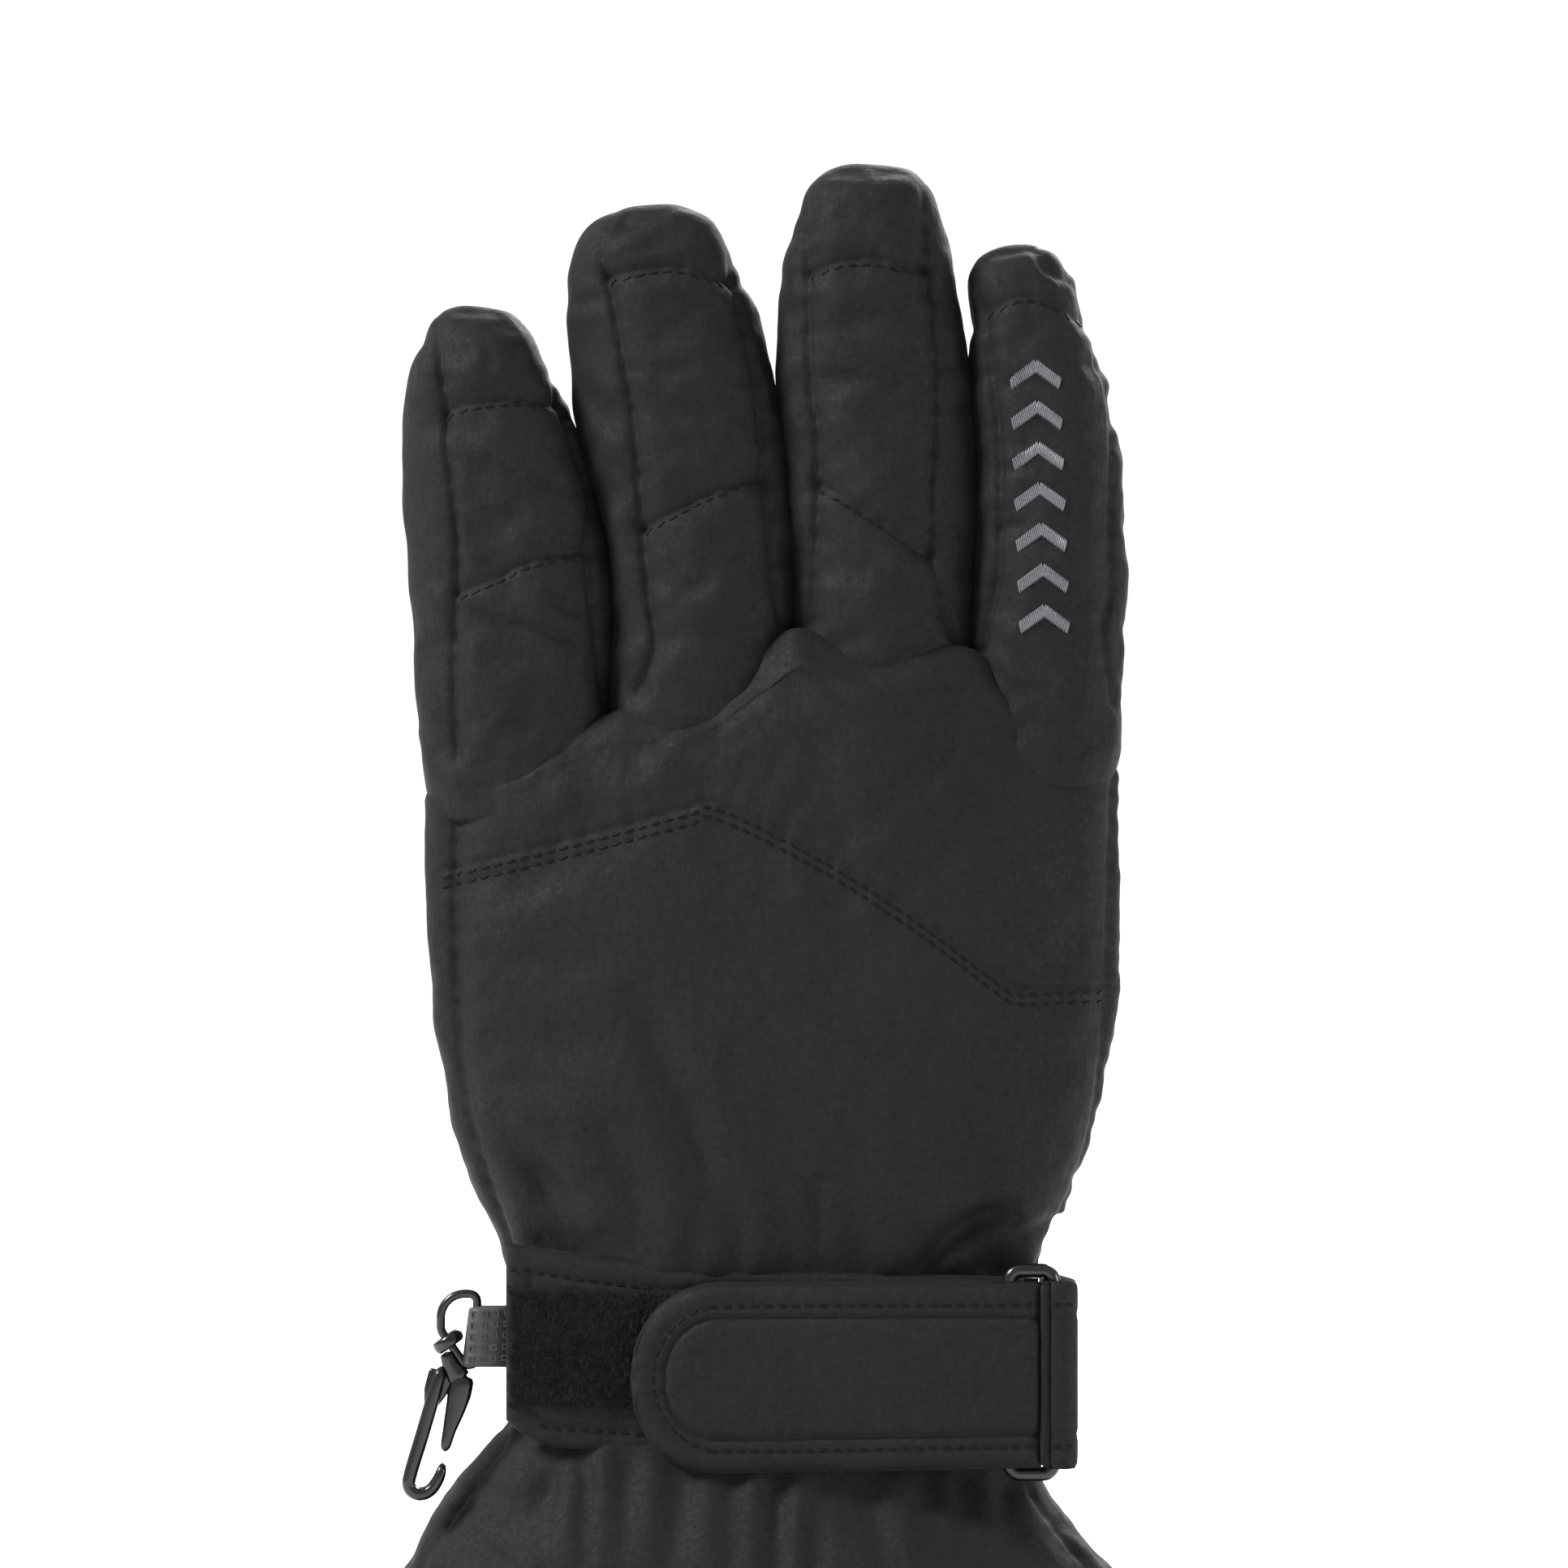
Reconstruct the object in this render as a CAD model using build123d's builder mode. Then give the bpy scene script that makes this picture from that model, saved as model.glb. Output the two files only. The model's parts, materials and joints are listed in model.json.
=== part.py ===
"""Left ski glove: padded fingers, thumb, hand, gauntlet, wrist strap and storage clip.

The glove stands on its hem. +Z runs up to the fingertips, the back of the hand faces -Y,
the palm faces +Y, and the forefinger is on the +X side. Sizes are in millimetres.
"""

import os
from math import cos, radians, sin, tan

from build123d import *

os.makedirs("parts", exist_ok=True)

# Cloth thicknesses, measured inwards from the outside of the glove.
SHELL = 1.6
WALL = 5.0
GAP = 0.25

# Hand: a flat padded tube, outlined from the wrist up both edges to above the knuckles.
HAND_DEPTH = 32.0
HAND_ROUND = 10.0
WRIST_Z = 62.0
HAND_TOP_Z = 212.0
HAND_LITTLE_EDGE = [(-46, 40), (-46, 98), (-56, 131), (-61, 170), (-63.4, 236)]
HAND_INDEX_EDGE = [(64.2, 236), (63, 165), (60.5, 131), (48, 98), (46.5, 40)]
YOKE_SEAM = [(-80, 166), (-8.5, 180), (44, 147.6), (80, 147.6)]
SIDE_SEAM_DEPTH = 2.0

# Fingers: hinge point at the knuckle, lean to the little-finger side, widths, lengths.
FINGER_DEPTH = 24.0
FINGER_ROUND = 9.0
FINGERTIP_ROUND = 12.0
FINGERS = {
    "little": dict(x=-45.8, z=197, lean=4.5, base=34.6, tip=27.0, bend=36, length=71.5),
    "ring": dict(x=-11.7, z=203, lean=5.5, base=31.6, tip=33.0, bend=45, length=84.0),
    "middle": dict(x=20.6, z=209, lean=1.6, base=29.8, tip=29.6, bend=44, length=85.2),
    "index": dict(x=50.6, z=206, lean=1.6, base=27.4, tip=25.0, bend=42, length=73.4),
}
KNUCKLE_EDGES = {
    "little": (-72, -27.2),
    "ring": (-28.4, 5.3),
    "middle": (4.5, 36.6),
    "index": (35.8, 72),
}
PALM_NOTCH = 33.0
BACK_NOTCH = 5.0

# Thumb: lies in front of the palm and turns about the hole where it joins the palm.
THUMB_X = 40.0
THUMB_Z = 125.0
THUMB_LEAN = 21.5
THUMB_DEPTH = 19.8
THUMB_ROUND = 7.0
THUMB_WIDTH = 32.0
THUMB_TIP_WIDTH = 26.0
THUMB_BEND = 36.0
THUMB_LENGTH = 70.0
THUMB_HOLE_R = 10.0
THUMB_NOTCH = 25.0
THUMB_Y = HAND_DEPTH / 2 + 0.6 + THUMB_DEPTH / 2

# Gauntlet: rounded rectangles as (height, half width, half depth, corner radius).
GAUNTLET = [(8, 72, 36, 27), (20, 71, 34, 25), (43, 64, 27, 19), (WRIST_Z - 0.3, 47, 15.5, 11)]
GAUNTLET_SHELL = 1.6
GAUNTLET_WALL = 4.0
GAUNTLET_SIDE = 10.0
HEM_HEIGHT = 8.0
HEM_PROUD = 0.4

# Wrist strap, loop pile, ring and pull tab, stacked on the back of the wrist.
STRAP_THICK = 1.6
STRAP_BACK_Y = -HAND_DEPTH / 2 - 0.3
STRAP_OUTLINE = [(-45.7, 71.6), (-38, 67), (38.5, 63.5), (38.5, 97), (-45.7, 102.5)]
PILE_BOX = (-45, 0, 73.2, 94.8)
PILE_THICK = 1.5
RING_BAR_R = 1.3
RING_Y = -20.5
RING_LEFT_X = 42.6
RING_RIGHT_X = 50.3
RING_BOTTOM_Z = 62.3
RING_TOP_Z = 97.9
LOOP_IN_R = RING_BAR_R + 0.35
LOOP_OUT_R = LOOP_IN_R + 1.5
TAB_LOW_Z = 64.0
TAB_HIGH_Z = 96.2
TAB_END_X = -24.0
HOOK_TAPE = (-18, 8, 68.5, 91.7)
TAPE_GAP = 0.3
ANCHOR_THICK = 1.5
ANCHOR_SEWN_X = 48.9
ANCHOR_EDGE_Y = -6.0
ANCHOR_SEWN_Y = 8.0

# Storage clip on the little-finger side of the wrist.
CLIP_Y = -12.0
D_BAR_X = -51.2
D_WIRE_R = 0.8
D_CORNERS = [(D_BAR_X, 93.2), (-57.6, 93.2), (-57.6, 86.7), (D_BAR_X, 77.6)]
D_ROUNDS = [1.4, 4.2, 2.0, 1.4]
WEBBING_Z = (82.2, 91.6)
WEBBING_PLY = 0.95
WEBBING_SEWN_X = -44.9
EYE_X = -56.3
EYE_Z = 84.8
EYE_TILT = 54.8
EYE_IN_R = 1.6
EYE_OUT_R = 2.7
EYE_THICK = 2.0
HOOK_WIDTH = 2.6
HOOK_THICK = 4.0
HOOK_SPINE = [(-58.1, 82.9), (-63.2, 61.0)]
HOOK_TIP = (-57.4, 62.9)
GATE_PIVOT = (-53.9, 78.6)
GATE_OUTLINE = [(-55.4, 76.4), (-52.4, 76.8), (-56.2, 65.1), (-57.8, 65.4)]
GATE_THICK = 3.0
WEB_OUTLINE = [(-58.2, 81), GATE_PIVOT, (-59.6, 74.6), (-61.0, 71)]
WEB_THICK = 1.4
GATE_BOSS_R = 1.5


def hand_solid(inset):
    """The hand as a flat tube, inset from its outside."""
    with BuildPart() as tube:
        with BuildSketch(Plane.XZ) as outline:
            with BuildLine():
                Polyline(HAND_LITTLE_EDGE + HAND_INDEX_EDGE, close=True)
            make_face()
            bends = [v for v in outline.vertices() if 60 < v.Y < 200]
            fillet(bends, radius=50)
            if inset:
                offset(amount=-inset)
        extrude(amount=HAND_DEPTH / 2 - inset, both=True)
        long_edges = tube.edges().group_by(Axis.Y)[0] + tube.edges().group_by(Axis.Y)[-1]
        fillet(long_edges, radius=HAND_ROUND - inset)
    return tube.part


def finger_frame(f):
    """Unit vectors across and along a finger, both in the plane of the hand."""
    lean = radians(f["lean"])
    across = Vector(cos(lean), 0, sin(lean))
    along = Vector(-sin(lean), 0, cos(lean))
    return across, along


def finger_solid(f, inset):
    """One whole finger as a tapered pad with a round tip, inset from its outside."""
    across, along = finger_frame(f)
    flat = Plane(origin=(f["x"], 0, f["z"]), x_dir=across, z_dir=(0, -1, 0))
    half_base = f["base"] / 2
    half_tip = f["tip"] / 2
    with BuildPart() as pad:
        with BuildSketch(flat) as outline:
            with BuildLine():
                Polyline(
                    (-half_base, -10),
                    (half_base, -10),
                    (half_tip, f["length"]),
                    (-half_tip, f["length"]),
                    close=True,
                )
            make_face()
            fillet(outline.vertices().group_by(Axis.Y)[-1], radius=FINGERTIP_ROUND)
            if inset:
                offset(amount=-inset)
        extrude(amount=FINGER_DEPTH / 2 - inset, both=True)
        long_edges = pad.edges().group_by(Axis.Y)[0] + pad.edges().group_by(Axis.Y)[-1]
        fillet(long_edges, radius=FINGER_ROUND - inset)
    return pad.part


def notch(depth, side):
    """How far a fold's face has moved along the finger at this depth from the hinge line."""
    return GAP + abs(depth) * tan(radians(PALM_NOTCH if depth * side > 0 else BACK_NOTCH))


def slab(f, near, far, low_at, high_at, half_width=60.0):
    """The part of a finger's space between two depths and between two folds."""
    across, along = finger_frame(f)
    depths = [near] + ([0.0] if near < 0 < far else []) + [far]
    lower = [(y, low_at + notch(y, 1) if low_at is not None else -60.0) for y in depths]
    upper = [(y, high_at - notch(y, 1) if high_at is not None else 120.0) for y in depths]
    plane = Plane(origin=(f["x"], 0, f["z"]), x_dir=(0, 1, 0), z_dir=across)
    with BuildPart() as block:
        with BuildSketch(plane):
            with BuildLine():
                Polyline(lower + upper[::-1], close=True)
            make_face()
        extrude(amount=half_width, both=True)
    return block.part


def knuckle_cut(name):
    """The space that the folded finger needs above the hand, at its own knuckle."""
    f = FINGERS[name]
    left, right = KNUCKLE_EDGES[name]
    across, along = finger_frame(f)
    hinge = Vector(f["x"], 0, f["z"])
    plane = Plane(
        origin=hinge + across * ((left - f["x"]) / across.X), x_dir=(0, 1, 0), z_dir=across
    )
    with BuildPart() as block:
        with BuildSketch(plane):
            with BuildLine():
                Polyline(
                    (-30, -notch(30, -1)),
                    (0, -GAP),
                    (30, -notch(30, 1)),
                    (30, 60),
                    (-30, 60),
                    close=True,
                )
            make_face()
        extrude(amount=(right - left) / across.X)
    return block.part


def rounded_stack(stack, inset):
    """A ruled skin through rounded rectangles, inset from the outside."""
    with BuildPart() as skin:
        for height, half_width, half_depth, corner in stack:
            with BuildSketch(Plane.XY.offset(height)):
                RectangleRounded(
                    2 * (half_width - inset), 2 * (half_depth - inset), corner - inset
                )
        loft(ruled=True)
    return skin.part


# ---------------------------------------------------------------- hand panels
hand_outer = hand_solid(0)
hand_middle = hand_solid(SHELL)
hand_inner = hand_solid(WALL)
knuckle_cuts = [knuckle_cut(name) for name in FINGERS]
seam_y = HAND_DEPTH / 2 - SIDE_SEAM_DEPTH

with BuildPart() as hand_room:
    with BuildSketch(Plane.XY.offset(WRIST_Z)):
        Rectangle(200, 100)
    extrude(amount=HAND_TOP_Z - WRIST_Z)
    for cut in knuckle_cuts:
        add(cut, mode=Mode.SUBTRACT)

with BuildPart() as hand_shell:
    add(hand_outer)
    add(hand_middle, mode=Mode.SUBTRACT)
    add(hand_room.part, mode=Mode.INTERSECT)

with BuildPart() as back_yoke:
    add(hand_shell.part)
    with BuildSketch(Plane.XZ.offset(seam_y)):
        with BuildLine():
            Polyline(YOKE_SEAM + [(80, 230), (-80, 230)], close=True)
        make_face()
    extrude(amount=20, mode=Mode.INTERSECT)
back_yoke.part.label = "back_yoke"
export_step(back_yoke.part, "parts/back_yoke.step")

with BuildPart() as back_lower:
    add(hand_shell.part)
    with BuildSketch(Plane.XZ.offset(seam_y)):
        with BuildLine():
            Polyline(YOKE_SEAM + [(80, 50), (-80, 50)], close=True)
        make_face()
    extrude(amount=20, mode=Mode.INTERSECT)
back_lower.part.label = "back_lower"
export_step(back_lower.part, "parts/back_lower.step")

with BuildPart() as palm_panel:
    add(hand_shell.part)
    with BuildSketch(Plane.XZ.offset(-seam_y)):
        Rectangle(200, 600)
    extrude(amount=-20, mode=Mode.INTERSECT)
    with BuildSketch(Plane.XZ):
        with Locations((THUMB_X, THUMB_Z)):
            Circle(THUMB_HOLE_R)
    extrude(amount=-30, mode=Mode.SUBTRACT)
palm_panel.part.label = "palm_panel"
export_step(palm_panel.part, "parts/palm_panel.step")

for side_name, side_x in (("little_side_panel", -100), ("index_side_panel", 100)):
    with BuildPart() as side_panel:
        add(hand_shell.part)
        with BuildSketch(Plane.XZ):
            with Locations((side_x, 140)):
                Rectangle(200, 300)
        extrude(amount=seam_y, both=True, mode=Mode.INTERSECT)
    side_panel.part.label = side_name
    export_step(side_panel.part, f"parts/{side_name}.step")

with BuildPart() as hand_liner:
    add(hand_middle)
    add(hand_inner, mode=Mode.SUBTRACT)
    add(hand_room.part, mode=Mode.INTERSECT)
    with BuildSketch(Plane.XZ):
        with Locations((THUMB_X, THUMB_Z)):
            Circle(THUMB_HOLE_R)
    extrude(amount=-30, mode=Mode.SUBTRACT)
hand_liner.part.label = "hand_liner"
export_step(hand_liner.part, "parts/hand_liner.step")

# ---------------------------------------------------------------- fingers
for name, f in FINGERS.items():
    outer = finger_solid(f, 0)
    middle = finger_solid(f, SHELL)
    inner = finger_solid(f, WALL)
    half = FINGER_DEPTH / 2
    seam = half - SIDE_SEAM_DEPTH
    spans = {"lower": (0.0, f["bend"]), "upper": (f["bend"], None)}
    depths = {
        "back": (-half - 2, -seam),
        "fourchettes": (-seam, seam),
        "palm": (seam, half + 2),
    }
    for end, (low_at, high_at) in spans.items():
        for panel, (near, far) in depths.items():
            with BuildPart() as finger_panel:
                add(outer)
                add(middle, mode=Mode.SUBTRACT)
                add(slab(f, near, far, low_at, high_at), mode=Mode.INTERSECT)
            node = f"{name}_{panel}_{end}"
            finger_panel.part.label = node
            export_step(finger_panel.part, f"parts/{node}.step")
        with BuildPart() as finger_liner:
            add(middle)
            add(inner, mode=Mode.SUBTRACT)
            add(slab(f, -half - 2, half + 2, low_at, high_at), mode=Mode.INTERSECT)
        node = f"{name}_liner_{end}"
        finger_liner.part.label = node
        export_step(finger_liner.part, f"parts/{node}.step")

# ---------------------------------------------------------------- thumb
thumb_lean = radians(THUMB_LEAN)
thumb_across = (cos(thumb_lean), 0, sin(thumb_lean))
thumb_flat = Plane(origin=(THUMB_X, THUMB_Y, THUMB_Z), x_dir=thumb_across, z_dir=(0, -1, 0))


def thumb_solid(inset):
    """The thumb pad: a round heel about the palm hole, tapering to a round tip."""
    with BuildPart() as pad:
        with BuildSketch(thumb_flat) as outline:
            with BuildLine():
                Polyline(
                    (-THUMB_WIDTH / 2, 0),
                    (THUMB_WIDTH / 2, 0),
                    (THUMB_TIP_WIDTH / 2, THUMB_LENGTH),
                    (-THUMB_TIP_WIDTH / 2, THUMB_LENGTH),
                    close=True,
                )
            make_face()
            fillet(outline.vertices().group_by(Axis.Y)[-1], radius=THUMB_TIP_WIDTH / 2 - 1)
            Circle(THUMB_WIDTH / 2)
            if inset:
                offset(amount=-inset)
        extrude(amount=THUMB_DEPTH / 2 - inset, both=True)
        long_edges = pad.edges().group_by(Axis.Y)[0] + pad.edges().group_by(Axis.Y)[-1]
        fillet(long_edges, radius=THUMB_ROUND - inset)
    return pad.part


def thumb_span(end, near, far):
    """Half of the thumb's space, cut at the fold in its middle."""
    slope = tan(radians(THUMB_NOTCH))
    rise = 40 * slope
    with BuildPart() as block:
        with BuildSketch(thumb_flat.offset(near)):
            with BuildLine():
                if end == "lower":
                    fold = THUMB_BEND - GAP
                    points = [(-40, fold - rise), (0, fold), (40, fold), (40, -30), (-40, -30)]
                else:
                    fold = THUMB_BEND + GAP
                    points = [(-40, fold + rise), (0, fold), (40, fold), (40, 110), (-40, 110)]
                Polyline(points, close=True)
            make_face()
        extrude(amount=far - near)
    return block.part


thumb_outer = thumb_solid(0)
thumb_middle = thumb_solid(SHELL)
thumb_inner = thumb_solid(WALL)
with BuildPart() as thumb_hole:
    with BuildSketch(Plane.XZ):
        with Locations((THUMB_X, THUMB_Z)):
            Circle(THUMB_HOLE_R)
    extrude(amount=-THUMB_Y)

for end in ("lower", "upper"):
    for panel, near, far in (("back", 0, THUMB_DEPTH), ("front", -THUMB_DEPTH, 0)):
        with BuildPart() as thumb_panel:
            add(thumb_outer)
            add(thumb_middle, mode=Mode.SUBTRACT)
            add(thumb_span(end, near, far), mode=Mode.INTERSECT)
            add(thumb_hole.part, mode=Mode.SUBTRACT)
        node = f"thumb_{panel}_{end}"
        thumb_panel.part.label = node
        export_step(thumb_panel.part, f"parts/{node}.step")
    with BuildPart() as thumb_liner:
        add(thumb_middle)
        add(thumb_inner, mode=Mode.SUBTRACT)
        add(thumb_span(end, -THUMB_DEPTH, THUMB_DEPTH), mode=Mode.INTERSECT)
        add(thumb_hole.part, mode=Mode.SUBTRACT)
    node = f"thumb_liner_{end}"
    thumb_liner.part.label = node
    export_step(thumb_liner.part, f"parts/{node}.step")

# ---------------------------------------------------------------- gauntlet
gauntlet_outer = rounded_stack(GAUNTLET, 0)
gauntlet_middle = rounded_stack(GAUNTLET, GAUNTLET_SHELL)
gauntlet_inner = rounded_stack(GAUNTLET, GAUNTLET_WALL)
for node, low_y, high_y in (
    ("gauntlet_back", -60, -GAUNTLET_SIDE),
    ("gauntlet_sides", -GAUNTLET_SIDE, GAUNTLET_SIDE),
    ("gauntlet_palm", GAUNTLET_SIDE, 60),
):
    with BuildPart() as gauntlet_panel:
        add(gauntlet_outer)
        add(gauntlet_middle, mode=Mode.SUBTRACT)
        with BuildSketch(Plane.XZ.offset(-high_y)):
            Rectangle(300, 300)
        extrude(amount=high_y - low_y, mode=Mode.INTERSECT)
    gauntlet_panel.part.label = node
    export_step(gauntlet_panel.part, f"parts/{node}.step")

with BuildPart() as gauntlet_lining:
    add(gauntlet_middle)
    add(gauntlet_inner, mode=Mode.SUBTRACT)
gauntlet_lining.part.label = "gauntlet_lining"
export_step(gauntlet_lining.part, "parts/gauntlet_lining.step")

hem_width, hem_depth, hem_corner = GAUNTLET[0][1:]
with BuildPart() as hem_binding:
    with BuildSketch():
        RectangleRounded(
            2 * (hem_width + HEM_PROUD), 2 * (hem_depth + HEM_PROUD), hem_corner + HEM_PROUD
        )
        inner_edge = GAUNTLET_WALL + HEM_PROUD
        RectangleRounded(
            2 * (hem_width - inner_edge),
            2 * (hem_depth - inner_edge),
            hem_corner - inner_edge,
            mode=Mode.SUBTRACT,
        )
    extrude(amount=HEM_HEIGHT)
hem_binding.part.label = "hem_binding"
export_step(hem_binding.part, "parts/hem_binding.step")

# ---------------------------------------------------------------- wrist strap
with BuildPart() as base_strap:
    with BuildSketch(Plane.XZ.offset(-STRAP_BACK_Y)):
        with BuildLine():
            Polyline(STRAP_OUTLINE, close=True)
        make_face()
    extrude(amount=STRAP_THICK)
base_strap.part.label = "base_strap"
export_step(base_strap.part, "parts/base_strap.step")


def plate(box, back_y, thick):
    """A flat rectangle in the plane of the back, given as (x0, x1, z0, z1)."""
    x0, x1, z0, z1 = box
    with BuildPart() as flat_plate:
        with BuildSketch(Plane.XZ.offset(-back_y)):
            with Locations(((x0 + x1) / 2, (z0 + z1) / 2)):
                Rectangle(x1 - x0, z1 - z0)
        extrude(amount=thick)
    return flat_plate.part


strap_face_y = STRAP_BACK_Y - STRAP_THICK
with BuildPart() as loop_pile:
    add(plate(PILE_BOX, strap_face_y, PILE_THICK))
loop_pile.part.label = "loop_pile"
export_step(loop_pile.part, "parts/loop_pile.step")

with BuildPart() as strap_ring:
    with BuildLine(Plane.XZ.offset(-RING_Y)) as ring_path:
        FilletPolyline(
            (RING_LEFT_X, RING_BOTTOM_Z),
            (RING_RIGHT_X, RING_BOTTOM_Z),
            (RING_RIGHT_X, RING_TOP_Z),
            (RING_LEFT_X, RING_TOP_Z),
            radius=1.5 * RING_BAR_R,
            close=True,
        )
    ring_wire = ring_path.wires()[0]
    with BuildSketch(Plane(origin=ring_wire @ 0, z_dir=ring_wire % 0)):
        Circle(RING_BAR_R)
    sweep(path=ring_wire)
strap_ring.part.label = "strap_ring"
export_step(strap_ring.part, "parts/strap_ring.step")

tab_height = TAB_HIGH_Z - TAB_LOW_Z
tab_face_y = RING_Y - LOOP_IN_R
with BuildPart() as strap_tab:
    with BuildSketch(Plane.XZ.offset(-tab_face_y)) as tab_face:
        with Locations(((TAB_END_X + RING_LEFT_X) / 2, (TAB_LOW_Z + TAB_HIGH_Z) / 2)):
            Rectangle(RING_LEFT_X - TAB_END_X, tab_height)
        fillet(tab_face.vertices().group_by(Axis.X)[0], radius=tab_height / 2 - 0.5)
    extrude(amount=LOOP_OUT_R - LOOP_IN_R)
    with BuildSketch(Plane.XY.offset(TAB_LOW_Z)):
        with Locations((RING_LEFT_X, RING_Y)):
            Circle(LOOP_OUT_R)
    extrude(amount=tab_height)
    with BuildSketch(Plane.XY.offset(TAB_LOW_Z)):
        with Locations((RING_LEFT_X, RING_Y)):
            Circle(LOOP_IN_R)
    extrude(amount=tab_height, mode=Mode.SUBTRACT)
strap_tab.part.label = "strap_tab"
export_step(strap_tab.part, "parts/strap_tab.step")

pile_face_y = strap_face_y - PILE_THICK
with BuildPart() as hook_tape:
    add(plate(HOOK_TAPE, pile_face_y - TAPE_GAP, pile_face_y - TAPE_GAP - tab_face_y))
hook_tape.part.label = "hook_tape"
export_step(hook_tape.part, "parts/hook_tape.step")

with BuildPart() as strap_anchor:
    with BuildSketch(Plane.XY.offset(TAB_LOW_Z)):
        with Locations((RING_RIGHT_X, RING_Y)):
            Circle(LOOP_OUT_R)
        with BuildLine():
            Polyline(
                (RING_RIGHT_X + LOOP_IN_R, RING_Y),
                (RING_RIGHT_X + LOOP_OUT_R, RING_Y),
                (ANCHOR_SEWN_X + ANCHOR_THICK, ANCHOR_EDGE_Y),
                (ANCHOR_SEWN_X + ANCHOR_THICK, ANCHOR_SEWN_Y),
                (ANCHOR_SEWN_X, ANCHOR_SEWN_Y),
                (ANCHOR_SEWN_X, ANCHOR_EDGE_Y),
                close=True,
            )
        make_face()
        with Locations((RING_RIGHT_X, RING_Y)):
            Circle(LOOP_IN_R, mode=Mode.SUBTRACT)
    extrude(amount=tab_height)
strap_anchor.part.label = "strap_anchor"
export_step(strap_anchor.part, "parts/strap_anchor.step")

# ---------------------------------------------------------------- storage clip
clip_plane = Plane.XZ.offset(-CLIP_Y)
loop_in = D_WIRE_R + GAP
loop_out = loop_in + WEBBING_PLY
with BuildPart() as clip_webbing:
    with BuildSketch(Plane.XY.offset(WEBBING_Z[0])):
        with Locations((D_BAR_X, CLIP_Y)):
            Circle(loop_out)
        with Locations(((D_BAR_X + WEBBING_SEWN_X) / 2, CLIP_Y)):
            Rectangle(WEBBING_SEWN_X - D_BAR_X, 2 * WEBBING_PLY)
        with Locations((D_BAR_X, CLIP_Y)):
            Circle(loop_in, mode=Mode.SUBTRACT)
    extrude(amount=WEBBING_Z[1] - WEBBING_Z[0])
clip_webbing.part.label = "clip_webbing"
export_step(clip_webbing.part, "parts/clip_webbing.step")

with BuildPart() as d_ring:
    with BuildLine(clip_plane) as d_path:
        FilletPolyline(*D_CORNERS, radius=D_ROUNDS, close=True)
    d_wire = d_path.wires()[0]
    with BuildSketch(Plane(origin=d_wire @ 0, z_dir=d_wire % 0)):
        Circle(D_WIRE_R)
    sweep(path=d_wire)
d_ring.part.label = "d_ring"
export_step(d_ring.part, "parts/d_ring.step")

eye_dir = (cos(radians(EYE_TILT)), 0, -sin(radians(EYE_TILT)))
eye_plane = Plane(origin=(EYE_X, CLIP_Y, EYE_Z), x_dir=(0, 1, 0), z_dir=eye_dir)
with BuildPart() as clip_hook:
    with BuildSketch(clip_plane):
        with BuildLine():
            spine = Line(*HOOK_SPINE)
            TangentArc(spine @ 1, HOOK_TIP, tangent=spine % 1)
        trace(line_width=HOOK_WIDTH)
        with Locations(HOOK_TIP):
            Circle(HOOK_WIDTH / 2)
    extrude(amount=HOOK_THICK / 2, both=True)
    with BuildSketch(clip_plane):
        with BuildLine():
            Polyline(WEB_OUTLINE, close=True)
        make_face()
        with Locations(GATE_PIVOT):
            Circle(GATE_BOSS_R)
    extrude(amount=WEB_THICK / 2, both=True)
    with BuildSketch(eye_plane):
        Circle(EYE_OUT_R)
    extrude(amount=EYE_THICK / 2, both=True)
    with BuildSketch(eye_plane):
        Circle(EYE_IN_R)
    extrude(amount=EYE_THICK * 2, both=True, mode=Mode.SUBTRACT)
clip_hook.part.label = "clip_hook"
export_step(clip_hook.part, "parts/clip_hook.step")

with BuildPart() as clip_gate:
    with BuildSketch(clip_plane) as gate_face:
        with BuildLine():
            Polyline(GATE_OUTLINE, close=True)
        make_face()
        fillet(gate_face.vertices(), radius=0.6)
    extrude(amount=GATE_THICK / 2, both=True)
clip_gate.part.label = "clip_gate"
export_step(clip_gate.part, "parts/clip_gate.step")
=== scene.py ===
import json
import math

import bpy
import numpy as np
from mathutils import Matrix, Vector
from mathutils.bvhtree import BVHTree


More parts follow.
